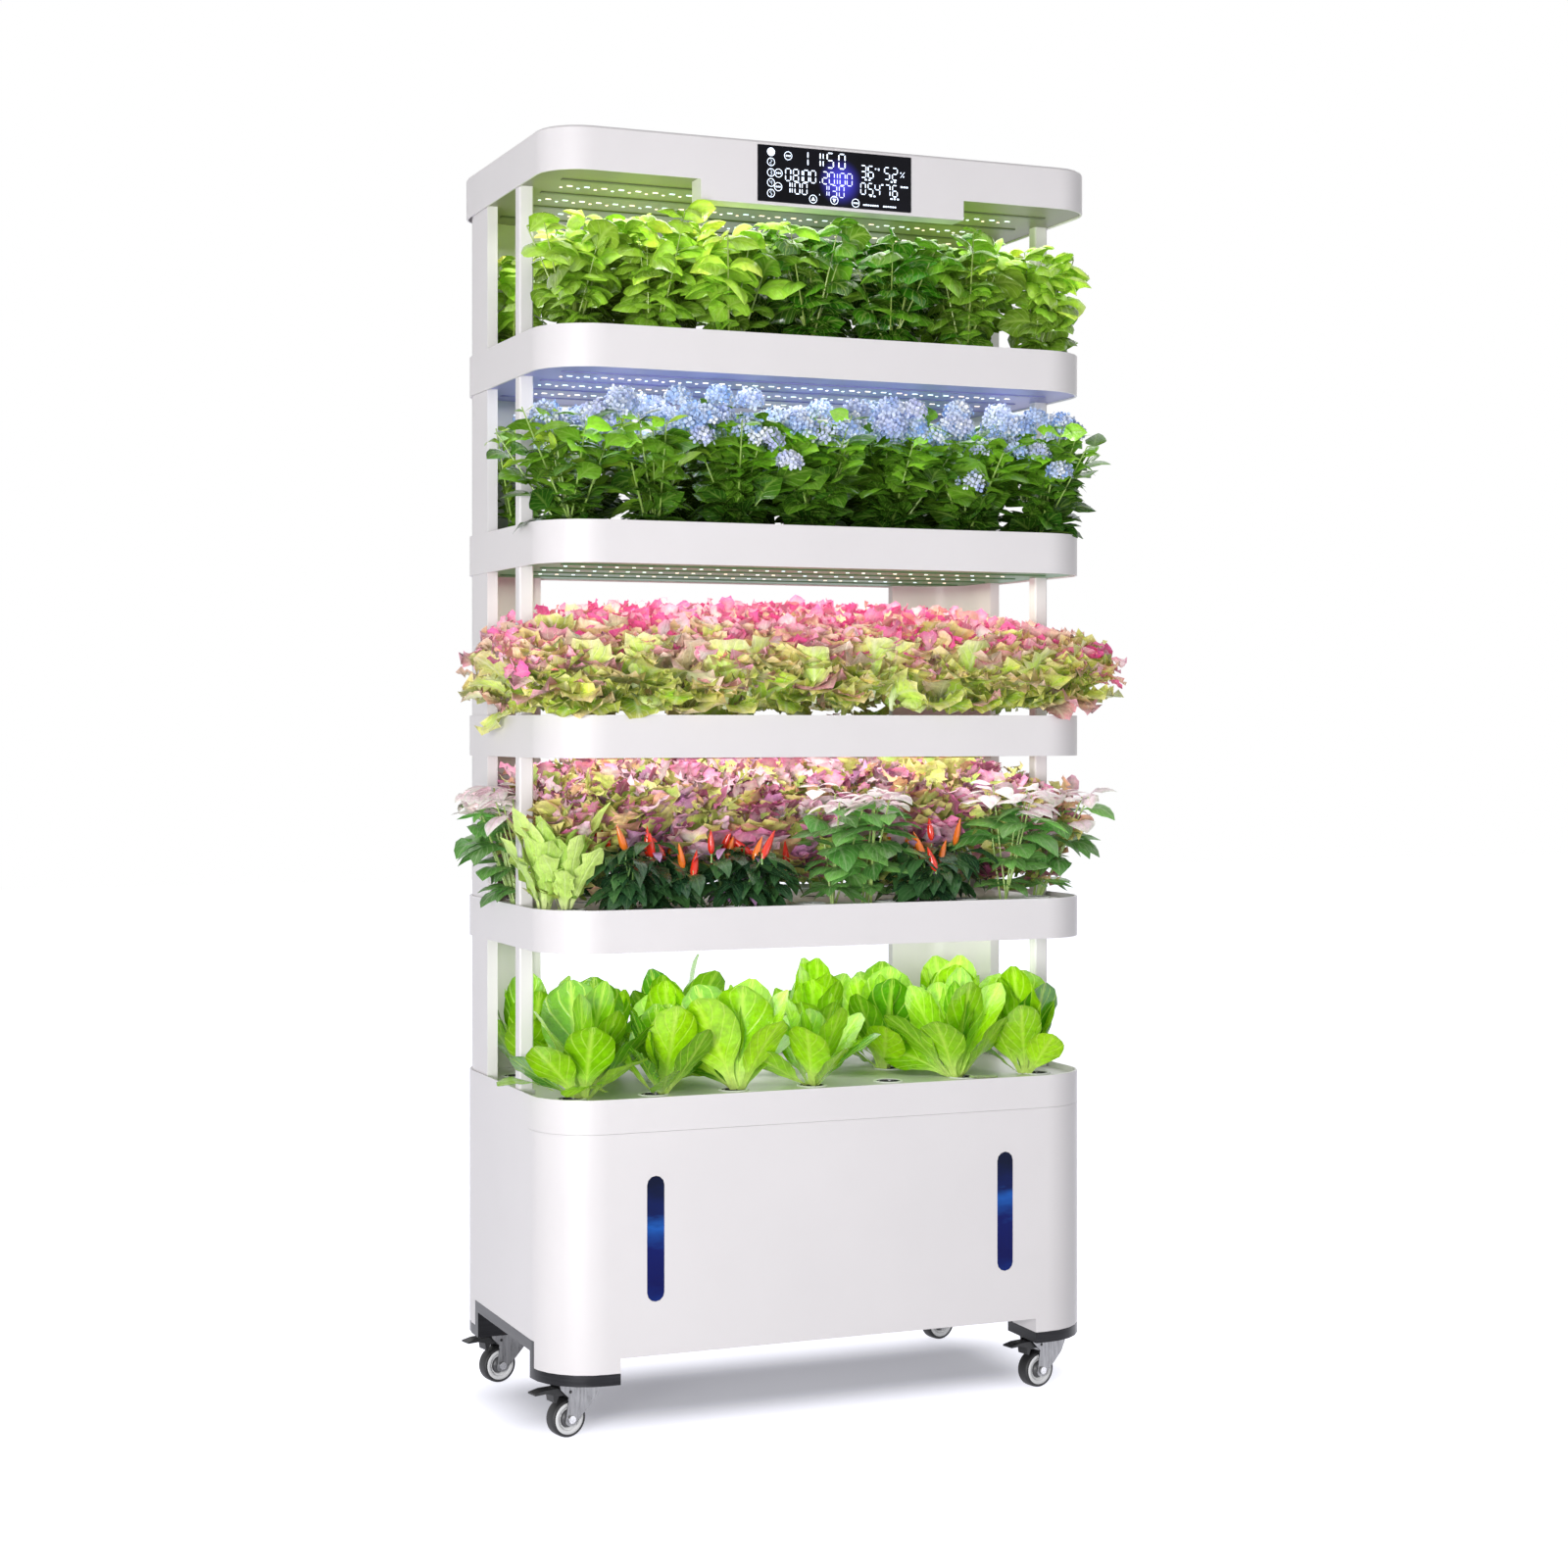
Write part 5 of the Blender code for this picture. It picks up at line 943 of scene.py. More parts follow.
def grow_frilled_lettuce():
    """Tier 3: frilled lettuce, olive and green at the rim and tan above it."""
    foliage = Foliage(3)
    palette = [((0.46, 0.70, 0.07), (0.62, 0.64, 0.14)), ((0.70, 0.90, 0.15), (0.90, 0.86, 0.32)),
               ((0.88, 0.90, 0.28), (0.96, 0.75, 0.38)), ((0.96, 0.86, 0.54), (0.96, 0.66, 0.54)),
               ((0.96, 0.70, 0.60), (0.95, 0.40, 0.56)), ((0.80, 0.56, 0.44), (0.90, 0.42, 0.48))]
    layers = [(130, -0.030, -0.012, 0.016, 0.074, 0.45, 0.90, (6, 4, 1, 0, 0, 1)),
              (160, -0.056, -0.018, 0.044, 0.084, 0.75, 0.90, (4, 6, 3, 1, 0, 1)),
              (180, -0.060, -0.016, 0.072, 0.088, 0.95, 0.80, (2, 5, 4, 3, 1, 1)),
              (180, -0.042, -0.004, 0.098, 0.088, 1.10, 0.70, (1, 4, 4, 5, 2, 1)),
              (170, -0.010, 0.020, 0.116, 0.078, 1.20, 0.60, (0, 2, 2, 4, 5, 1))]
    lettuce_layers(foliage, "frill", layers, palette)
    front = [(-0.335, 0.010, -1.9), (-0.275, 0.026, -1.3), (-0.150, 0.012, -1.9), (-0.115, 0.024, -1.1),
             (-0.020, 0.020, -2.0), (0.065, 0.024, -1.9), (0.095, 0.010, -1.0), (0.205, 0.024, -1.6),
             (0.285, 0.010, -1.0), (0.345, 0.024, -0.7)]
    rear = [(-0.250, 1.9), (0.010, 1.5), (0.260, 1.2)]
    standing = [(x, -0.196, height, way) for x, height, way in front]
    standing += [(-0.400, -0.070, 0.034, 3.0), (0.400, -0.060, 0.034, -0.1)]
    standing += [(x, 0.165, 0.030, way) for x, way in rear]
    hanging = [(-0.262, -0.192, 0.026, -1.6), (0.118, -0.192, 0.026, -1.5)]
    feature_leaves(foliage, "frill", standing, 0.096, 0.056, 1.36, 0.55,
                   (0.66, 0.90, 0.18), (0.94, 0.88, 0.44), (0.92, 0.97, 0.70))
    feature_leaves(foliage, "basil", hanging, 0.046, 0.040, 0.30, 1.35,
                   (0.60, 0.80, 0.18), (0.80, 0.86, 0.40), (0.86, 0.94, 0.60))
    skin = leaf_material("scene_frilled_lettuce", (0.97, 0.96, 0.74), 0.42, 6, 0.36, 0.15, 0.5, 0.04)
    foliage.finish("frilled_lettuce_plants", skin, "crop_3_frilled_lettuce")


def grow_lettuce_tops():
    """Tier 3: the frilled lettuce's pink tops."""
    tops = Foliage(3)
    palette = [((0.94, 0.20, 0.42), (0.95, 0.12, 0.42)), ((0.95, 0.44, 0.58), (0.95, 0.22, 0.48)),
               ((0.94, 0.66, 0.46), (0.94, 0.38, 0.42)), ((0.94, 0.82, 0.42), (0.94, 0.62, 0.46)),
               ((0.96, 0.78, 0.80), (0.95, 0.40, 0.56))]
    scatter_tufts(tops, "tuft", 2500, (-0.400, 0.410, -0.170, 0.190), 0.146, (0.015, 0.027), palette,
                  (5, 4, 1, 1, 3), 0.46)
    scatter_tufts(tops, "tuft", 1200, (-0.450, 0.455, -0.212, -0.120), 0.140, (0.018, 0.032), palette,
                  (4, 4, 3, 3, 3))
    skin = leaf_material("scene_lettuce_tops", (0.96, 0.62, 0.62), 0.15, 4, 0.42, 0.1, 0.6, 0.11)
    tops.finish("frilled_lettuce_tops", skin)


def grow_bok_choy():
    """Tier 1: upright heads of smooth, spoon-shaped leaves in all but three holes."""
    foliage = Foliage(1)
    places = np.delete(planting_places(), (4, 9, 16), 0) * (0.95, 1.0)
    each = 13
    foot, turn, share = rosettes(places, each, 0.012)
    count = len(foot)
    start = 0.50 + 0.98 * share ** 0.8 + random.normal(0, 0.10, count)
    end = start - random.uniform(-0.15, 0.45, count) * (1.15 - share)
    head = np.repeat(random.uniform(0.90, 1.08, len(places)), each)
    length = (0.110 + 0.036 * share) * random.uniform(0.85, 1.10, count) * head
    width = length * random.uniform(0.46, 0.60, count)
    base = np.c_[foot, np.full(count, foliage.floor + 0.001)]
    body = mixed((0.075, 0.31, 0.002), (0.44, 0.84, 0.006), np.clip(random.normal(0.5, 0.32, count), 0, 1))
    foliage.leaves("spoon", base, turn, start, end, length, width, body, body * 0.70, (0.66, 0.86, 0.22),
                   random.normal(0, 0.38, count))
    hanging = [(-0.365, -0.125, 0.010, 3.5), (-0.300, -0.150, 0.008, 3.9), (0.225, -0.160, 0.006, -1.3)]
    feature_leaves(foliage, "spoon", hanging, 0.100, 0.042, 0.35, 0.75,
                   (0.34, 0.64, 0.02), (0.22, 0.46, 0.02), (0.60, 0.80, 0.18))
    feature_leaves(foliage, "spoon", [(0.228, -0.166, 0.004, -1.5)], 0.060, 0.040, 0.30, 1.0,
                   (0.78, 0.84, 0.62), (0.62, 0.78, 0.36), (0.80, 0.86, 0.66))
    skin = leaf_material("scene_bok_choy", (0.72, 0.94, 0.14), 0.44, 5, 0.27, 0.30, 0.55, 0.07)
    foliage.finish("bok_choy_plants", skin, "crop_1_leaf_lettuce")


def grow_oak_leaf():
    """Tier 2: oak-leaf lettuce in pink, tan, green and dark red."""
    foliage = Foliage(2)
    palette = [((0.86, 0.46, 0.60), (0.86, 0.24, 0.48)), ((0.93, 0.76, 0.80), (0.88, 0.46, 0.62)),
               ((0.90, 0.66, 0.32), (0.92, 0.46, 0.34)), ((0.72, 0.82, 0.20), (0.86, 0.76, 0.30)),
               ((0.34, 0.10, 0.17), (0.58, 0.14, 0.30)), ((0.38, 0.56, 0.10), (0.54, 0.52, 0.14)),
               ((0.76, 0.46, 0.68), (0.66, 0.26, 0.52))]
    layers = [(110, 0.010, 0.070, 0.040, 0.066, 0.60, 0.60, (1, 0, 1, 3, 3, 6, 0)),
              (150, 0.000, 0.066, 0.075, 0.068, 0.85, 0.60, (2, 2, 1, 4, 2, 5, 1)),
              (190, -0.010, 0.058, 0.110, 0.066, 1.00, 0.65, (3, 4, 1, 5, 2, 3, 1)),
              (190, 0.015, 0.066, 0.142, 0.060, 1.15, 0.70, (3, 5, 2, 5, 1, 2, 1))]
    lettuce_layers(foliage, "oak", layers, palette)
    scatter_tufts(foliage, "oak", 1300, (-0.370, 0.410, -0.130, 0.190), 0.180, (0.022, 0.040), palette,
                  (4, 6, 2, 5, 1, 2, 2))
    scatter_tufts(foliage, "oak", 420, (-0.370, 0.410, -0.150, -0.080), 0.150, (0.024, 0.042), palette,
                  (3, 4, 1, 4, 3, 4, 1), tilt=(0.2, 1.2))
    skin = leaf_material("scene_oak_leaf", (0.84, 0.68, 0.52), 0.20, 4, 0.38, 0.1, 0.5, 0.02)
    foliage.finish("oak_leaf_plants", skin, "crop_2_peppers_and_oak_leaf")


def grow_light_lettuce():
    """Tier 2: two pale green lettuces at the front left corner."""
    light = Foliage(2)
    foot, turn, share = rosettes(np.array([(-0.380, -0.132), (-0.354, -0.146)]), 20)
    count = len(foot)
    base = np.c_[foot, np.full(count, light.floor + 0.002)]
    start = 1.22 + 0.30 * share + random.normal(0, 0.08, count)
    body = mixed((0.34, 0.58, 0.06), (0.62, 0.82, 0.20), np.clip(random.normal(0.5, 0.3, count), 0, 1))
    length = (0.085 + 0.060 * share) * random.uniform(0.75, 1.1, count)
    light.leaves("oak", base, turn, start, start - 0.45, length, random.uniform(0.026, 0.038, count), body,
                 body * np.array((1.15, 1.05, 1.4)), (0.70, 0.80, 0.36), random.normal(0, 0.25, count))
    skin = leaf_material("scene_light_lettuce", (0.72, 0.84, 0.42), 0.35, 6, 0.42, 0.0, 0.6, 0.10)
    light.finish("light_lettuce", skin)


def grow_chili():
    """Tier 2: dark chili bushes with a few lilac leaves."""
    bushes = Foliage(2)
    places = np.array([(-0.268, -0.150), (-0.215, -0.148), (-0.130, -0.150), (-0.090, -0.138),
                       (0.150, -0.146), (0.190, -0.130), (0.020, 0.130), (-0.220, 0.140), (0.230, 0.140)])
    paths, azimuth = spread_stems(bushes, places, 9, 0.044, 0.020, (0.055, 0.104))
    bushes.stems(paths, random.uniform(0.0012, 0.0018, len(paths)), (0.12, 0.22, 0.06))
    for level, share in enumerate((0.30, 0.48, 0.66, 0.84, 1.0)):
        base = along_stem(paths, share)
        count = len(base)
        for turn in (0, math.pi):
            tone = np.clip(random.normal(0.25, 0.30, count), 0, 1)
            lilac = random.uniform(0, 1, count) < (0.16 if share > 0.6 else 0.03)
            green = mixed((0.016, 0.060, 0.024), (0.07, 0.19, 0.05), tone)
            body = np.where(lilac[:, None], (0.52, 0.28, 0.52), green)
            length = random.uniform(0.040, 0.064, count) * np.where(lilac, 0.6, 1.0)
            way = azimuth + level * 1.5 + turn + random.normal(0, 0.4, count)
            sprig(bushes, "chili", base, way, (-0.1, 0.6), (-1.5, -0.8), length, (0.40, 0.52),
                  (body, body * 1.1, body * 1.2), 0.3)
    skin = leaf_material("scene_chili_leaf", (0.16, 0.30, 0.12), 0.30, 5, 0.26, 0.2, 0.4, 0.04)
    bushes.finish("chili_bushes", skin)
    grow_peppers(paths)


def grow_peppers(paths):
    """Red and orange peppers that stand on the stems' tips, each on a short green stalk."""
    peppers = Foliage(2)
    foot = paths[random.uniform(0, 1, len(paths)) < 0.44][:, -1]
    count = len(foot)
    lean = random.normal(0, 0.35, (count, 2))
    size = random.uniform(0.028, 0.042, count)[:, None]
    run = size * np.linspace(0, 1, 9)
    upright = 1 - 0.15 * np.abs(lean[:, :1])
    fruit = foot[:, None] + np.stack([lean[:, :1] * run, lean[:, 1:] * run, run * upright], -1)
    fruit[..., 2] += random.uniform(-0.006, 0.010, count)[:, None]
    red = (random.uniform(0, 1, count) < 0.62)[:, None]
    tint = np.where(red, (0.80, 0.030, 0.010), (0.90, 0.20, 0.020))
    tint = tint * random.uniform(0.85, 1.1, count)[:, None]
    peppers.stems(fruit, random.uniform(0.0044, 0.0060, count), tint, 9,
                  [0.35, 0.85, 1.0, 0.98, 0.90, 0.76, 0.56, 0.32, 0.04])
    stalk = np.stack([foot + (0, 0, height) for height in (-0.010, 0.002, 0.005)], 1)
    peppers.stems(stalk, 0.0016, (0.16, 0.34, 0.05), 6)
    peppers.finish("chili_peppers", pepper_material())


def grow_pink_topped():
    """Tier 2: large green leaves in pairs up each stem, with pale pink leaves on top."""
    plants = Foliage(2)
    places = np.array([(-0.372, -0.030), (-0.385, -0.015), (0.025, -0.150), (0.080, -0.140), (0.290, -0.148),
                       (0.358, -0.120), (0.365, 0.100), (-0.100, 0.150), (0.130, 0.150)])
    paths, azimuth = spread_stems(plants, places, 5, 0.034, 0.050, (0.158, 0.186), 0.02)
    plants.stems(paths, random.uniform(0.0014, 0.0020, len(paths)), (0.34, 0.48, 0.14))
    for level, (share, size, pink) in enumerate([
            (0.14, 0.046, 0.0), (0.32, 0.062, 0.0), (0.50, 0.076, 0.0), (0.68, 0.074, 0.05),
            (0.82, 0.058, 0.35), (0.93, 0.050, 0.95), (1.0, 0.038, 1.0)]):
        base = along_stem(paths, share)
        count = len(base)
        for turn in (0, math.pi):
            green = mixed((0.08, 0.28, 0.045), (0.22, 0.50, 0.11), random.uniform(0, 1, count))
            rosy = (random.uniform(0, 1, count) < pink)[:, None]
            # An uneven tone, darkened towards the foot of the stem as painted shade.
            green = green * uneven(count, 0.26) * (0.5 + 0.5 * share)
            body = np.where(rosy, (0.97, 0.74, 0.84), green)
            edge = np.where(rosy, (0.82, 0.82, 0.74), green * 1.1)
            length = size * random.uniform(0.8, 1.15, count)
            way = azimuth + level * math.pi / 2 + turn + random.normal(0, 0.4, count)
            sprig(plants, "round", base, way, (0.1, 0.7), (-1.2, -0.3), length, (0.52, 0.66),
                  (body, edge, body * 1.1), 0.25)
    skin = leaf_material("scene_pink_topped_leaf", (0.50, 0.68, 0.36), 0.35, 6, 0.34, 0.15, 0.45, 0.12)
    plants.finish("pink_topped_plants", skin)


# Net pots


def joined_copies(name, profile, steps, places, material):
    """One mesh with the same turned piece, upright, at each of places."""
    points, quads = turned(profile, steps)
    faces = repeat_faces(quads, len(points), len(places))
    made = new_mesh(name, (points[None] + places[:, None]).reshape(-1, 3), faces.tolist(), material)
    made.modifiers.new("sharp", "EDGE_SPLIT").split_angle = math.radians(40)
    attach(made, RACK)


def make_net_pots():
    """Dark net cups with a white lip and a dark growing medium in every hole."""
    lip = [(0.0165, 0.0002), (0.0168, 0.0016), (0.0200, 0.0018), (0.0206, 0.0010), (0.0206, 0.0002)]
    cup = [(0.0165, 0.0008), (0.0160, -0.0020), (0.0130, -0.0300), (0.0002, -0.0302)]
    fill = [(0.0160, -0.0045), (0.0080, -0.0032), (0.0002, -0.0036)]
    holes = planting_places()
    for tier, floor in enumerate(FLOORS, 1):
        spots = np.c_[holes, np.full(len(holes), floor)]
        joined_copies("pot_lips_%d" % tier, lip, 32, spots, BOARD_WHITE)
        joined_copies("net_cups_%d" % tier, cup, 24, spots, DARK_PLASTIC)
        joined_copies("growing_medium_%d" % tier, fill, 20, spots, GROWING_MEDIUM)


# Lamps


def lamp_dots(tier, under, glow):
    """Rows of small lamps under one plate, in pairs on all tiers but one."""
    corners, tints = [], []
    spots = np.arange(-LAMP_REACH, LAMP_REACH + 0.001, LAMP_PITCH)
    lamps = LAMP_SINGLE if tier == SINGLE_LAMP_TIER else LAMP_PAIR
    for row_y, spot_x, (off_x, off_y, half_x, half_y) in itertools.product(LAMP_ROWS, spots, lamps):
        x, y = spot_x + off_x, row_y + off_y
        corners.append(box_corners((x - half_x, y - half_y, under - LAMP_DROP),
                                   (x + half_x, y + half_y, under + LAMP_SINK)))
        tints.append(LAMP_TINTS[random.integers(len(LAMP_TINTS))])
    faces = repeat_faces(np.array(OPEN_BOX), 8, len(corners))
    dots = new_mesh("lamp_dots_%d" % tier, np.concatenate(corners), faces.tolist(), glow, smooth=False)
    write_tints(dots, np.repeat(tints, 8, 0))
    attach(dots, RACK)


def make_lamps():
    """Each plate's lamps and long ribs."""
    glow = lamp_dot_material()
    for tier, plate in enumerate(LAMP_PLATES, 1):
        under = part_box(plate)[0].z
        lamp_dots(tier, under, glow)
        for number, y in enumerate(LAMP_RIBS, 1):
            corners = box_corners((-LAMP_REACH - RIB_OVERHANG, y - RIB_HALF, under - RIB_DROP),
                                  (LAMP_REACH + RIB_OVERHANG, y + RIB_HALF, under + RIB_SINK))
            rib = new_mesh("lamp_rib_%d_%d" % (tier, number), corners, [*OPEN_BOX, BOX_TOP],
                           RIB_SKINS[tier - 1], smooth=False)
            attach(rib, RACK)
            soften(rib, 0.0006)


# Display, where u runs 0 to 1 to the right and v 0 to 1 downwards

SEGMENTS = {"0": "abcdef", "1": "bc", "2": "abged", "3": "abgcd", "4": "fgbc", "5": "afgcd", "6": "afgedc",
            "7": "abc", "8": "abcdefg", "9": "abcdfg"}
FIGURE_ROWS = [
    ("white", 0.185, 0.0195, "11:50", (0.298, 0.378, 0.418, 0.464, 0.540)),
    ("white", 0.505, 0.0160, "08:00.2", (0.190, 0.240, 0.280, 0.306, 0.352, 0.396, 0.430)),
    ("blue", 0.505, 0.0160, "0:00", (0.474, 0.510, 0.544, 0.590)),
    ("white", 0.732, 0.0152, "1:00,", (0.186, 0.216, 0.250, 0.296, 0.394)),
    ("blue", 0.732, 0.0152, "1:30", (0.426, 0.456, 0.490, 0.538)),
    ("white", 0.33, 0.0160, "3652", (0.682, 0.730, 0.838, 0.890)),
    ("white", 0.64, 0.0152, "05476", (0.680, 0.728, 0.774, 0.842, 0.890)),
]
NUMBER_U, NUMBER_VS, NUMBER_HEIGHT = 0.080, (0.12, 0.30, 0.49, 0.67, 0.86), 0.0058
CIRCLE_R, CIRCLE_LINE = 0.0056, 0.0008
BUTTON_R = 0.0058
BUTTONS = [(0.190, 0.165, "bars"), (0.128, 0.490, "bars"), (0.126, 0.735, "bars"), (0.352, 0.905, "up"),
           (0.490, 0.895, "down"), (0.630, 0.915, "bars")]
SMALL_MARKS = [(0.690, 0.475), (0.715, 0.475), (0.862, 0.475), (0.884, 0.475), (0.725, 0.765), (0.748, 0.765),
               (0.860, 0.785), (0.882, 0.785), (0.904, 0.785), (0.928, 0.555), (0.946, 0.555), (0.964, 0.555),
               (0.800, 0.545)]
DEGREE_MARKS = [(0.762, 0.265, 0.0012), (0.930, 0.300, 0.0011), (0.948, 0.365, 0.0011)]


class DisplayFace:
    """Collects flat shapes on the display's front, in metres from its top left corner."""

    def __init__(self):
        low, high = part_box("control_display")
        self.left, self.top = low.x, high.z
        self.width, self.height = high.x - low.x, high.z - low.z
        self.y = low.y - 0.0003
        self.groups = {}

    def place(self, u, v):
        return u * self.width, v * self.height

    def shape(self, group, points):
        verts, faces = self.groups.setdefault(group, ([], []))
        first = len(verts)
        verts += [(self.left + a, self.y, self.top - b) for a, b in points]
        faces.append(tuple(range(first, first + len(points))))

    def bar(self, group, a, b, width, height):
        self.shape(group, [(a, b), (a, b + height), (a + width, b + height), (a + width, b)])

    def ring(self, group, a, b, outer, inner, steps=20):
        for step in range(steps):
            one, two = (math.tau * k / steps for k in (step, step + 1))
            self.shape(group, [(a + radius * math.cos(turn), b + radius * math.sin(turn))
                               for radius, turn in ((outer, one), (inner, one), (inner, two), (outer, two))])

    def disc(self, group, a, b, radius, steps=18):
        turns = [-math.tau * k / steps for k in range(steps)]
        self.shape(group, [(a + radius * math.cos(turn), b + radius * math.sin(turn)) for turn in turns])

    def arrow(self, group, a, b, way):
        """A small triangle that points up where way is -1, or down where it is 1."""
        self.shape(group, [(a, b + way * 0.0032), (a + way * 0.0028, b - way * 0.0020),
                           (a - way * 0.0028, b - way * 0.0020)])

    def digit(self, group, sign, a, b, width, height):
        """One seven-segment figure whose top left corner is at a, b."""
        half, thick = height / 2, height * 0.086
        gap, side = thick * 0.62, thick / 2
        bars = {"a": (0, 0, True), "g": (0, half, True), "d": (0, height, True), "f": (0, 0, False),
                "b": (width, 0, False), "e": (0, half, False), "c": (width, half, False)}
        for name in SEGMENTS[sign]:
            x, y, level = bars[name]
            end = (width if level else half) - gap
            corners = [(gap, 0), (gap + side, side), (end - side, side), (end, 0), (end - side, -side),
                       (gap + side, -side)]
            self.shape(group, [(a + x + along, b + y + across) if level else (a + x - across, b + y + along)
                               for along, across in corners])

    def figures(self, group, v, height, signs, places):
        """A row of figures with v at their middle; a colon is two bars, and a stop or comma one dot."""
        width = height * 0.46
        for sign, u in zip(signs, places):
            a, b = self.place(u, v)
            if sign == ":":
                for lift in (-0.42, 0.08):
                    self.bar(group, a - 0.0006, b + lift * height, 0.0012, height * 0.34)
            elif sign in ".,":
                self.bar(group, a - 0.0004, b + height * 0.36, 0.0009, 0.0016)
            else:
                self.digit(group, sign, a - width / 2, b - height / 2, width, height)

    def finish(self, materials):
        for group, (verts, faces) in self.groups.items():
            made = new_mesh("display_" + group, verts, faces, materials[group], smooth=False)
            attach(made, RACK)


def number_circles(face):
    """Numbered circles down the display's left edge, the first of them filled."""
    face.disc("white", *face.place(NUMBER_U, NUMBER_VS[0]), CIRCLE_R)
    for number, v in enumerate(NUMBER_VS[1:], 2):
        face.ring("white", *face.place(NUMBER_U, v), CIRCLE_R, CIRCLE_R - CIRCLE_LINE)
        face.figures("white", v, NUMBER_HEIGHT, str(number), [NUMBER_U])


def buttons(face):
    """Round buttons with three short bars or an arrow in them."""
    for u, v, mark in BUTTONS:
        a, b = face.place(u, v)
        face.ring("white", a, b, BUTTON_R, BUTTON_R - CIRCLE_LINE)
        if mark == "bars":
            for step in (-1, 0, 1):
                face.bar("white", a + step * 0.0026 - 0.0008, b - 0.0011, 0.0016, 0.0022)
        else:
            face.arrow("white", a, b, -1 if mark == "up" else 1)


def small_marks(face):
    """Plain marks where the units and the words stand."""
    for start, end in ((0.680, 0.785), (0.812, 0.900)):
        for u in np.arange(start, end, 0.015):
            a, b = face.place(u, 0.935)
            face.bar("white", a, b - 0.0010, 0.0024, 0.0020)
    for u, v in SMALL_MARKS:
        a, b = face.place(u, v)
        face.bar("white", a, b - 0.0010, 0.0030, 0.0020)
    for u, v, radius in DEGREE_MARKS:
        face.ring("white", *face.place(u, v), radius, radius - 0.0006, 8)
    face.bar("white", *face.place(0.778, 0.250), 0.0020, 0.0030)
    slash = [(0.953, 0.280), (0.926, 0.385), (0.930, 0.385), (0.957, 0.280)]
    face.shape("white", [face.place(u, v) for u, v in slash])


def make_display():
    """Figures, numbered circles, buttons and small generic marks on the dark glass."""
    face = DisplayFace()
    for row in FIGURE_ROWS:
        face.figures(*row)
    number_circles(face)
    buttons(face)
    small_marks(face)
    face.finish({"white": DIGIT_GLOW, "blue": DIGIT_BLUE})


# Casters, with profiles as (radius, offset along the axle) points; tyre and rim are the same on both sides

TYRE_HALF = [(0.0203, 0.0096), (0.0222, 0.0100), (0.0238, 0.0094), (0.0247, 0.0078), (0.0250, 0.0045)]
RIM_HALF = [(0.0062, 0.0060), (0.0118, 0.0052), (0.0124, 0.0078), (0.0132, 0.0086), (0.0138, 0.0084),
            (0.0140, 0.0072), (0.0148, 0.0072), (0.0152, 0.0094), (0.0165, 0.0102), (0.0200, 0.0104),
            (0.0208, 0.0097)]
HUB_DISH = [(0.0032, 0.0122), (0.0062, 0.0122), (0.0066, 0.0112), (0.0072, 0.0066), (0.0112, 0.0058),
            (0.0121, 0.0060)]


def mirrored(half):
    return [(radius, -offset) for radius, offset in half] + half[::-1]


def wheel_piece(name, profile, steps, material, corner):
    """A piece turned round a wheel's axle, which turns with the wheel."""
    points, faces = turned(profile, steps)
    made = new_mesh(name, points, faces.tolist(), material)
    low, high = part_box("tyre_" + corner)
    lie = Vector((0, 0, 1)).rotation_difference(Vector(WHEEL_AXIS))
    made.matrix_world = Matrix.Translation((low + high) / 2) @ lie.to_matrix().to_4x4()
    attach(made, "wheel_" + corner)
    return made


def make_casters():
    """Turned tyres, rims and hubs; the forks, pedals, bolts and mounts keep their CAD shapes."""
    for corner in CORNERS:
        for kind, material, width in (("caster_fork", ZINC, 0.0005), ("caster_mount", ZINC, 0.0003),
                                      ("axle_bolt", STEEL, 0.0006), ("brake_pedal", PEDAL_BLACK, 0.0010)):
            finish_node("%s_%s" % (kind, corner), material, width)
        tyre = wheel_piece("tread_" + corner, mirrored(TYRE_HALF), 64, RUBBER, corner)
        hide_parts("tyre_" + corner)
        rim = wheel_piece("rim_" + corner, mirrored(RIM_HALF), 64, RIM_GREY, corner)
        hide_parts("wheel_hub_" + corner)
        for side, word in ((-1, "out"), (1, "in")):
            dish = [(radius, side * offset) for radius, offset in HUB_DISH]
            wheel_piece("hub_dish_%s_%s" % (corner, word), dish, 48, HUB_GREY, corner)


# Stage, lights and camera


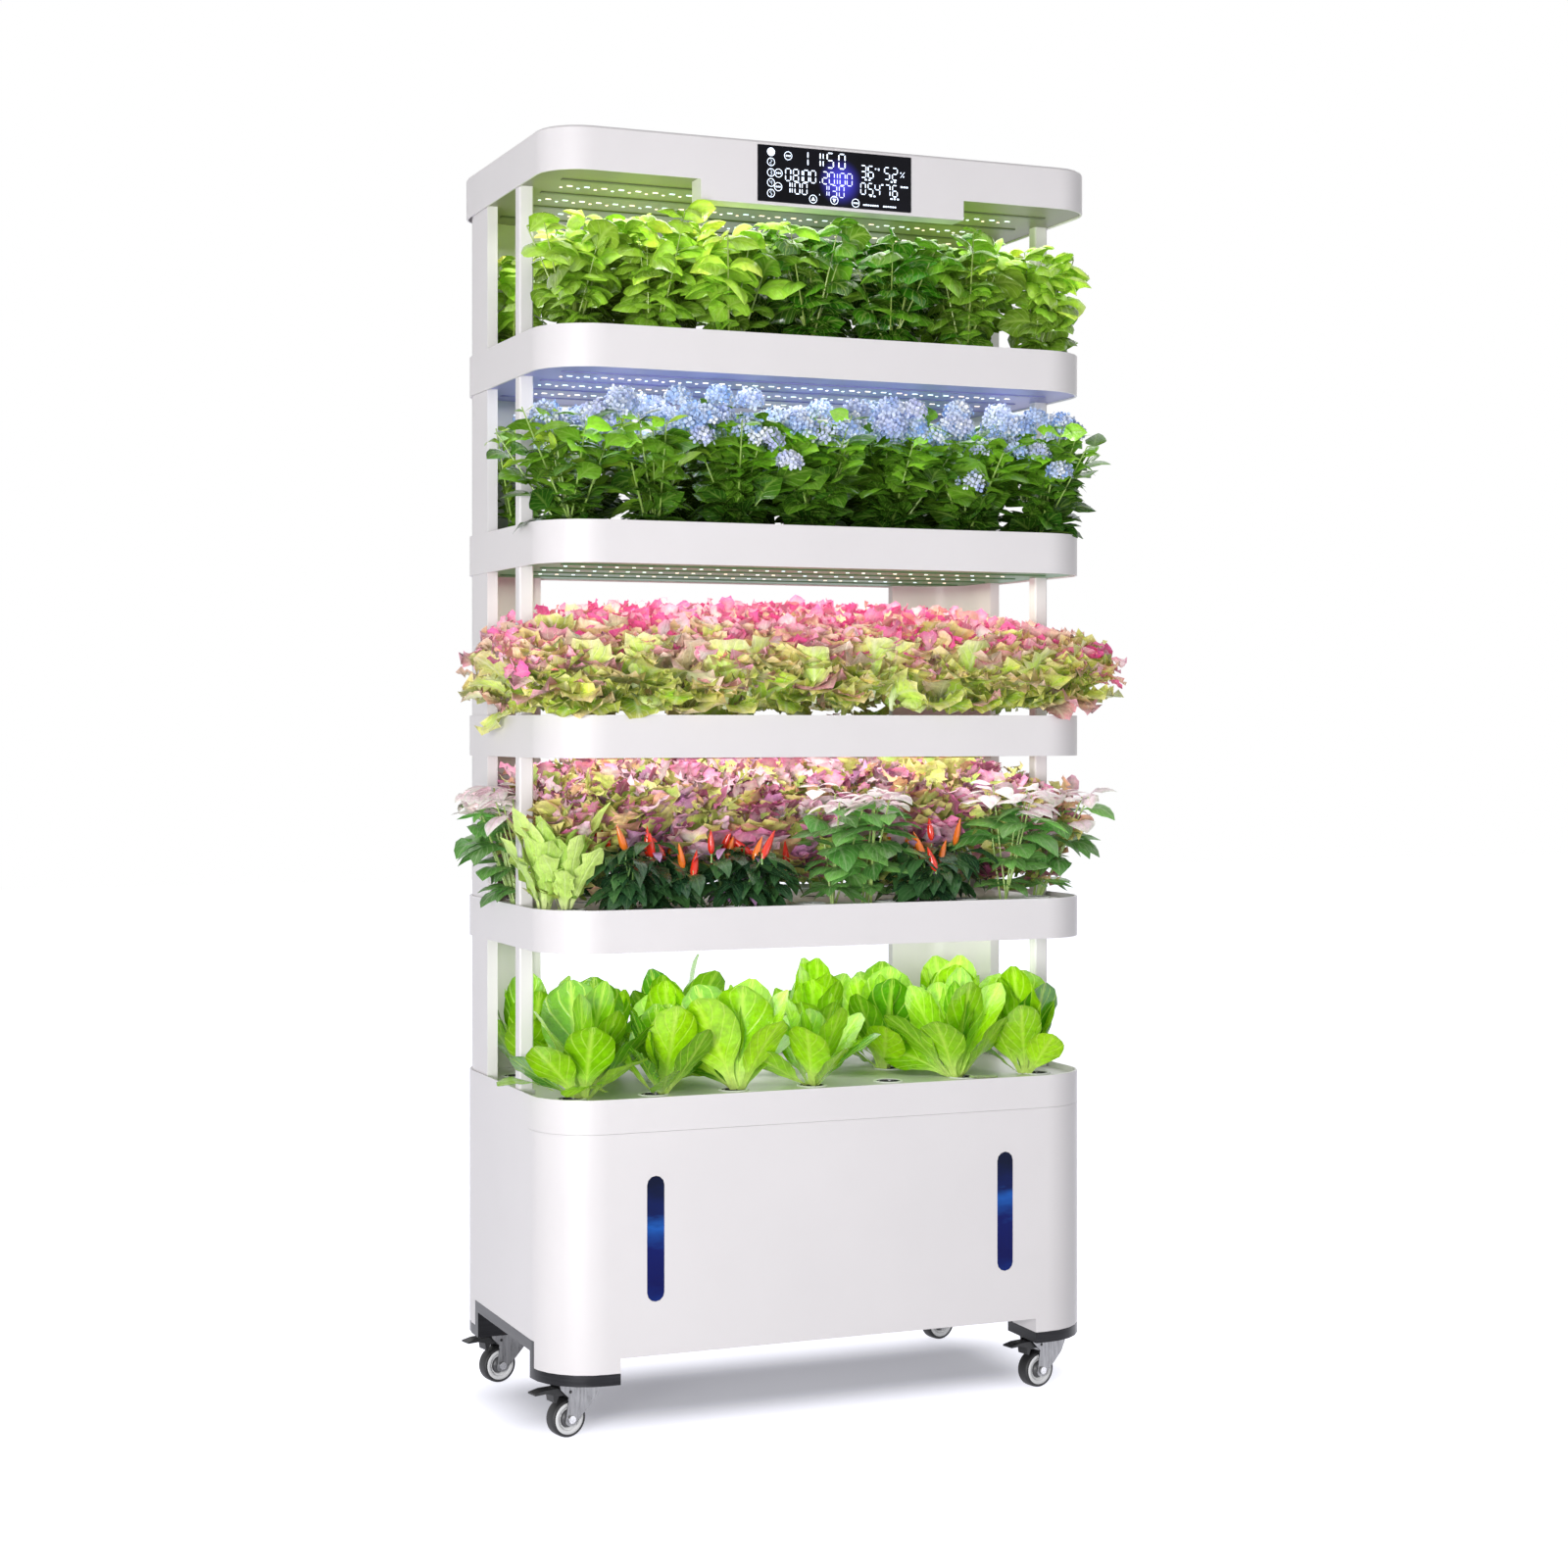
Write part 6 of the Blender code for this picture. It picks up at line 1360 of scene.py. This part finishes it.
def make_stage():
    """A white background to the camera, soft grey light from it on the part, and the floor."""
    world = bpy.data.worlds.new("studio")
    bpy.context.scene.world = world
    world.use_nodes = True
    tree = world.node_tree
    tree.nodes.clear()
    studio = add_node(tree, "ShaderNodeBackground", {"Color": (0.98, 0.98, 1.0, 1), "Strength": 0.30})
    white = add_node(tree, "ShaderNodeBackground", {"Color": (1, 1, 1, 1), "Strength": 1.0})
    mix = add_node(tree, "ShaderNodeMixShader", {
        "Fac": background_rays(tree), 1: studio.outputs["Background"], 2: white.outputs["Background"]})
    add_node(tree, "ShaderNodeOutputWorld", {"Surface": mix.outputs["Shader"]})
    size = FLOOR_HALF
    floor = new_mesh("floor", [(-size, -size, 0), (size, -size, 0), (size, size, 0), (-size, size, 0)],
                     [(0, 1, 2, 3)], floor_material(), smooth=False)


def area_lamp(name, place, target, size, power, colour=(1, 1, 1)):
    light = bpy.data.lights.new(name, "AREA")
    light.shape = "RECTANGLE"
    light.size, light.size_y = size
    light.energy = power
    light.color = colour
    made = bpy.data.objects.new(name, light)
    bpy.context.scene.collection.objects.link(made)
    made.location = place
    made.rotation_euler = (Vector(target) - Vector(place)).to_track_quat("-Z", "Y").to_euler()
    return made


def make_lights():
    """Three studio lights, and one under each lamp plate."""
    area_lamp("key", (-2.75, -3.10, 0.75), (0, 0, 0.55), (1.7, 1.5), 134)
    area_lamp("fill", (2.6, -3.2, 1.2), (0, 0, 0.6), (2.4, 2.4), 22)
    area_lamp("rear", (1.8, 2.8, 2.4), (0, 0, 0.9), (2.0, 2.0), 16)
    for tier, (ceiling, (tint, power)) in enumerate(zip(CEILINGS, TIER_LIGHTS), 1):
        lamp = area_lamp("tier_lamp_%d" % tier, (0, -0.02, ceiling - 0.004), (0, -0.02, 0), (0.72, 0.36),
                         power, tint)
        lamp.visible_camera = False


def make_camera():
    camera = bpy.data.objects.new("camera", bpy.data.cameras.new("camera"))
    bpy.context.scene.collection.objects.link(camera)
    camera.location = CAMERA_PLACE
    camera.rotation_euler = (math.pi / 2, 0, -CAMERA_YAW)
    camera.data.lens = CAMERA_LENS
    camera.data.sensor_width = 36.0
    camera.data.shift_y = CAMERA_SHIFT_Y
    camera.data.clip_end = 40
    bpy.context.scene.camera = camera


finish_frame()
grow_basil()
grow_hydrangea()
grow_frilled_lettuce()
grow_lettuce_tops()
grow_oak_leaf()
grow_light_lettuce()
grow_chili()
grow_pink_topped()
grow_bok_choy()
make_net_pots()
make_lamps()
make_display()
make_casters()
make_stage()
make_lights()
make_camera()
bpy.context.scene.view_settings.view_transform = "Standard"
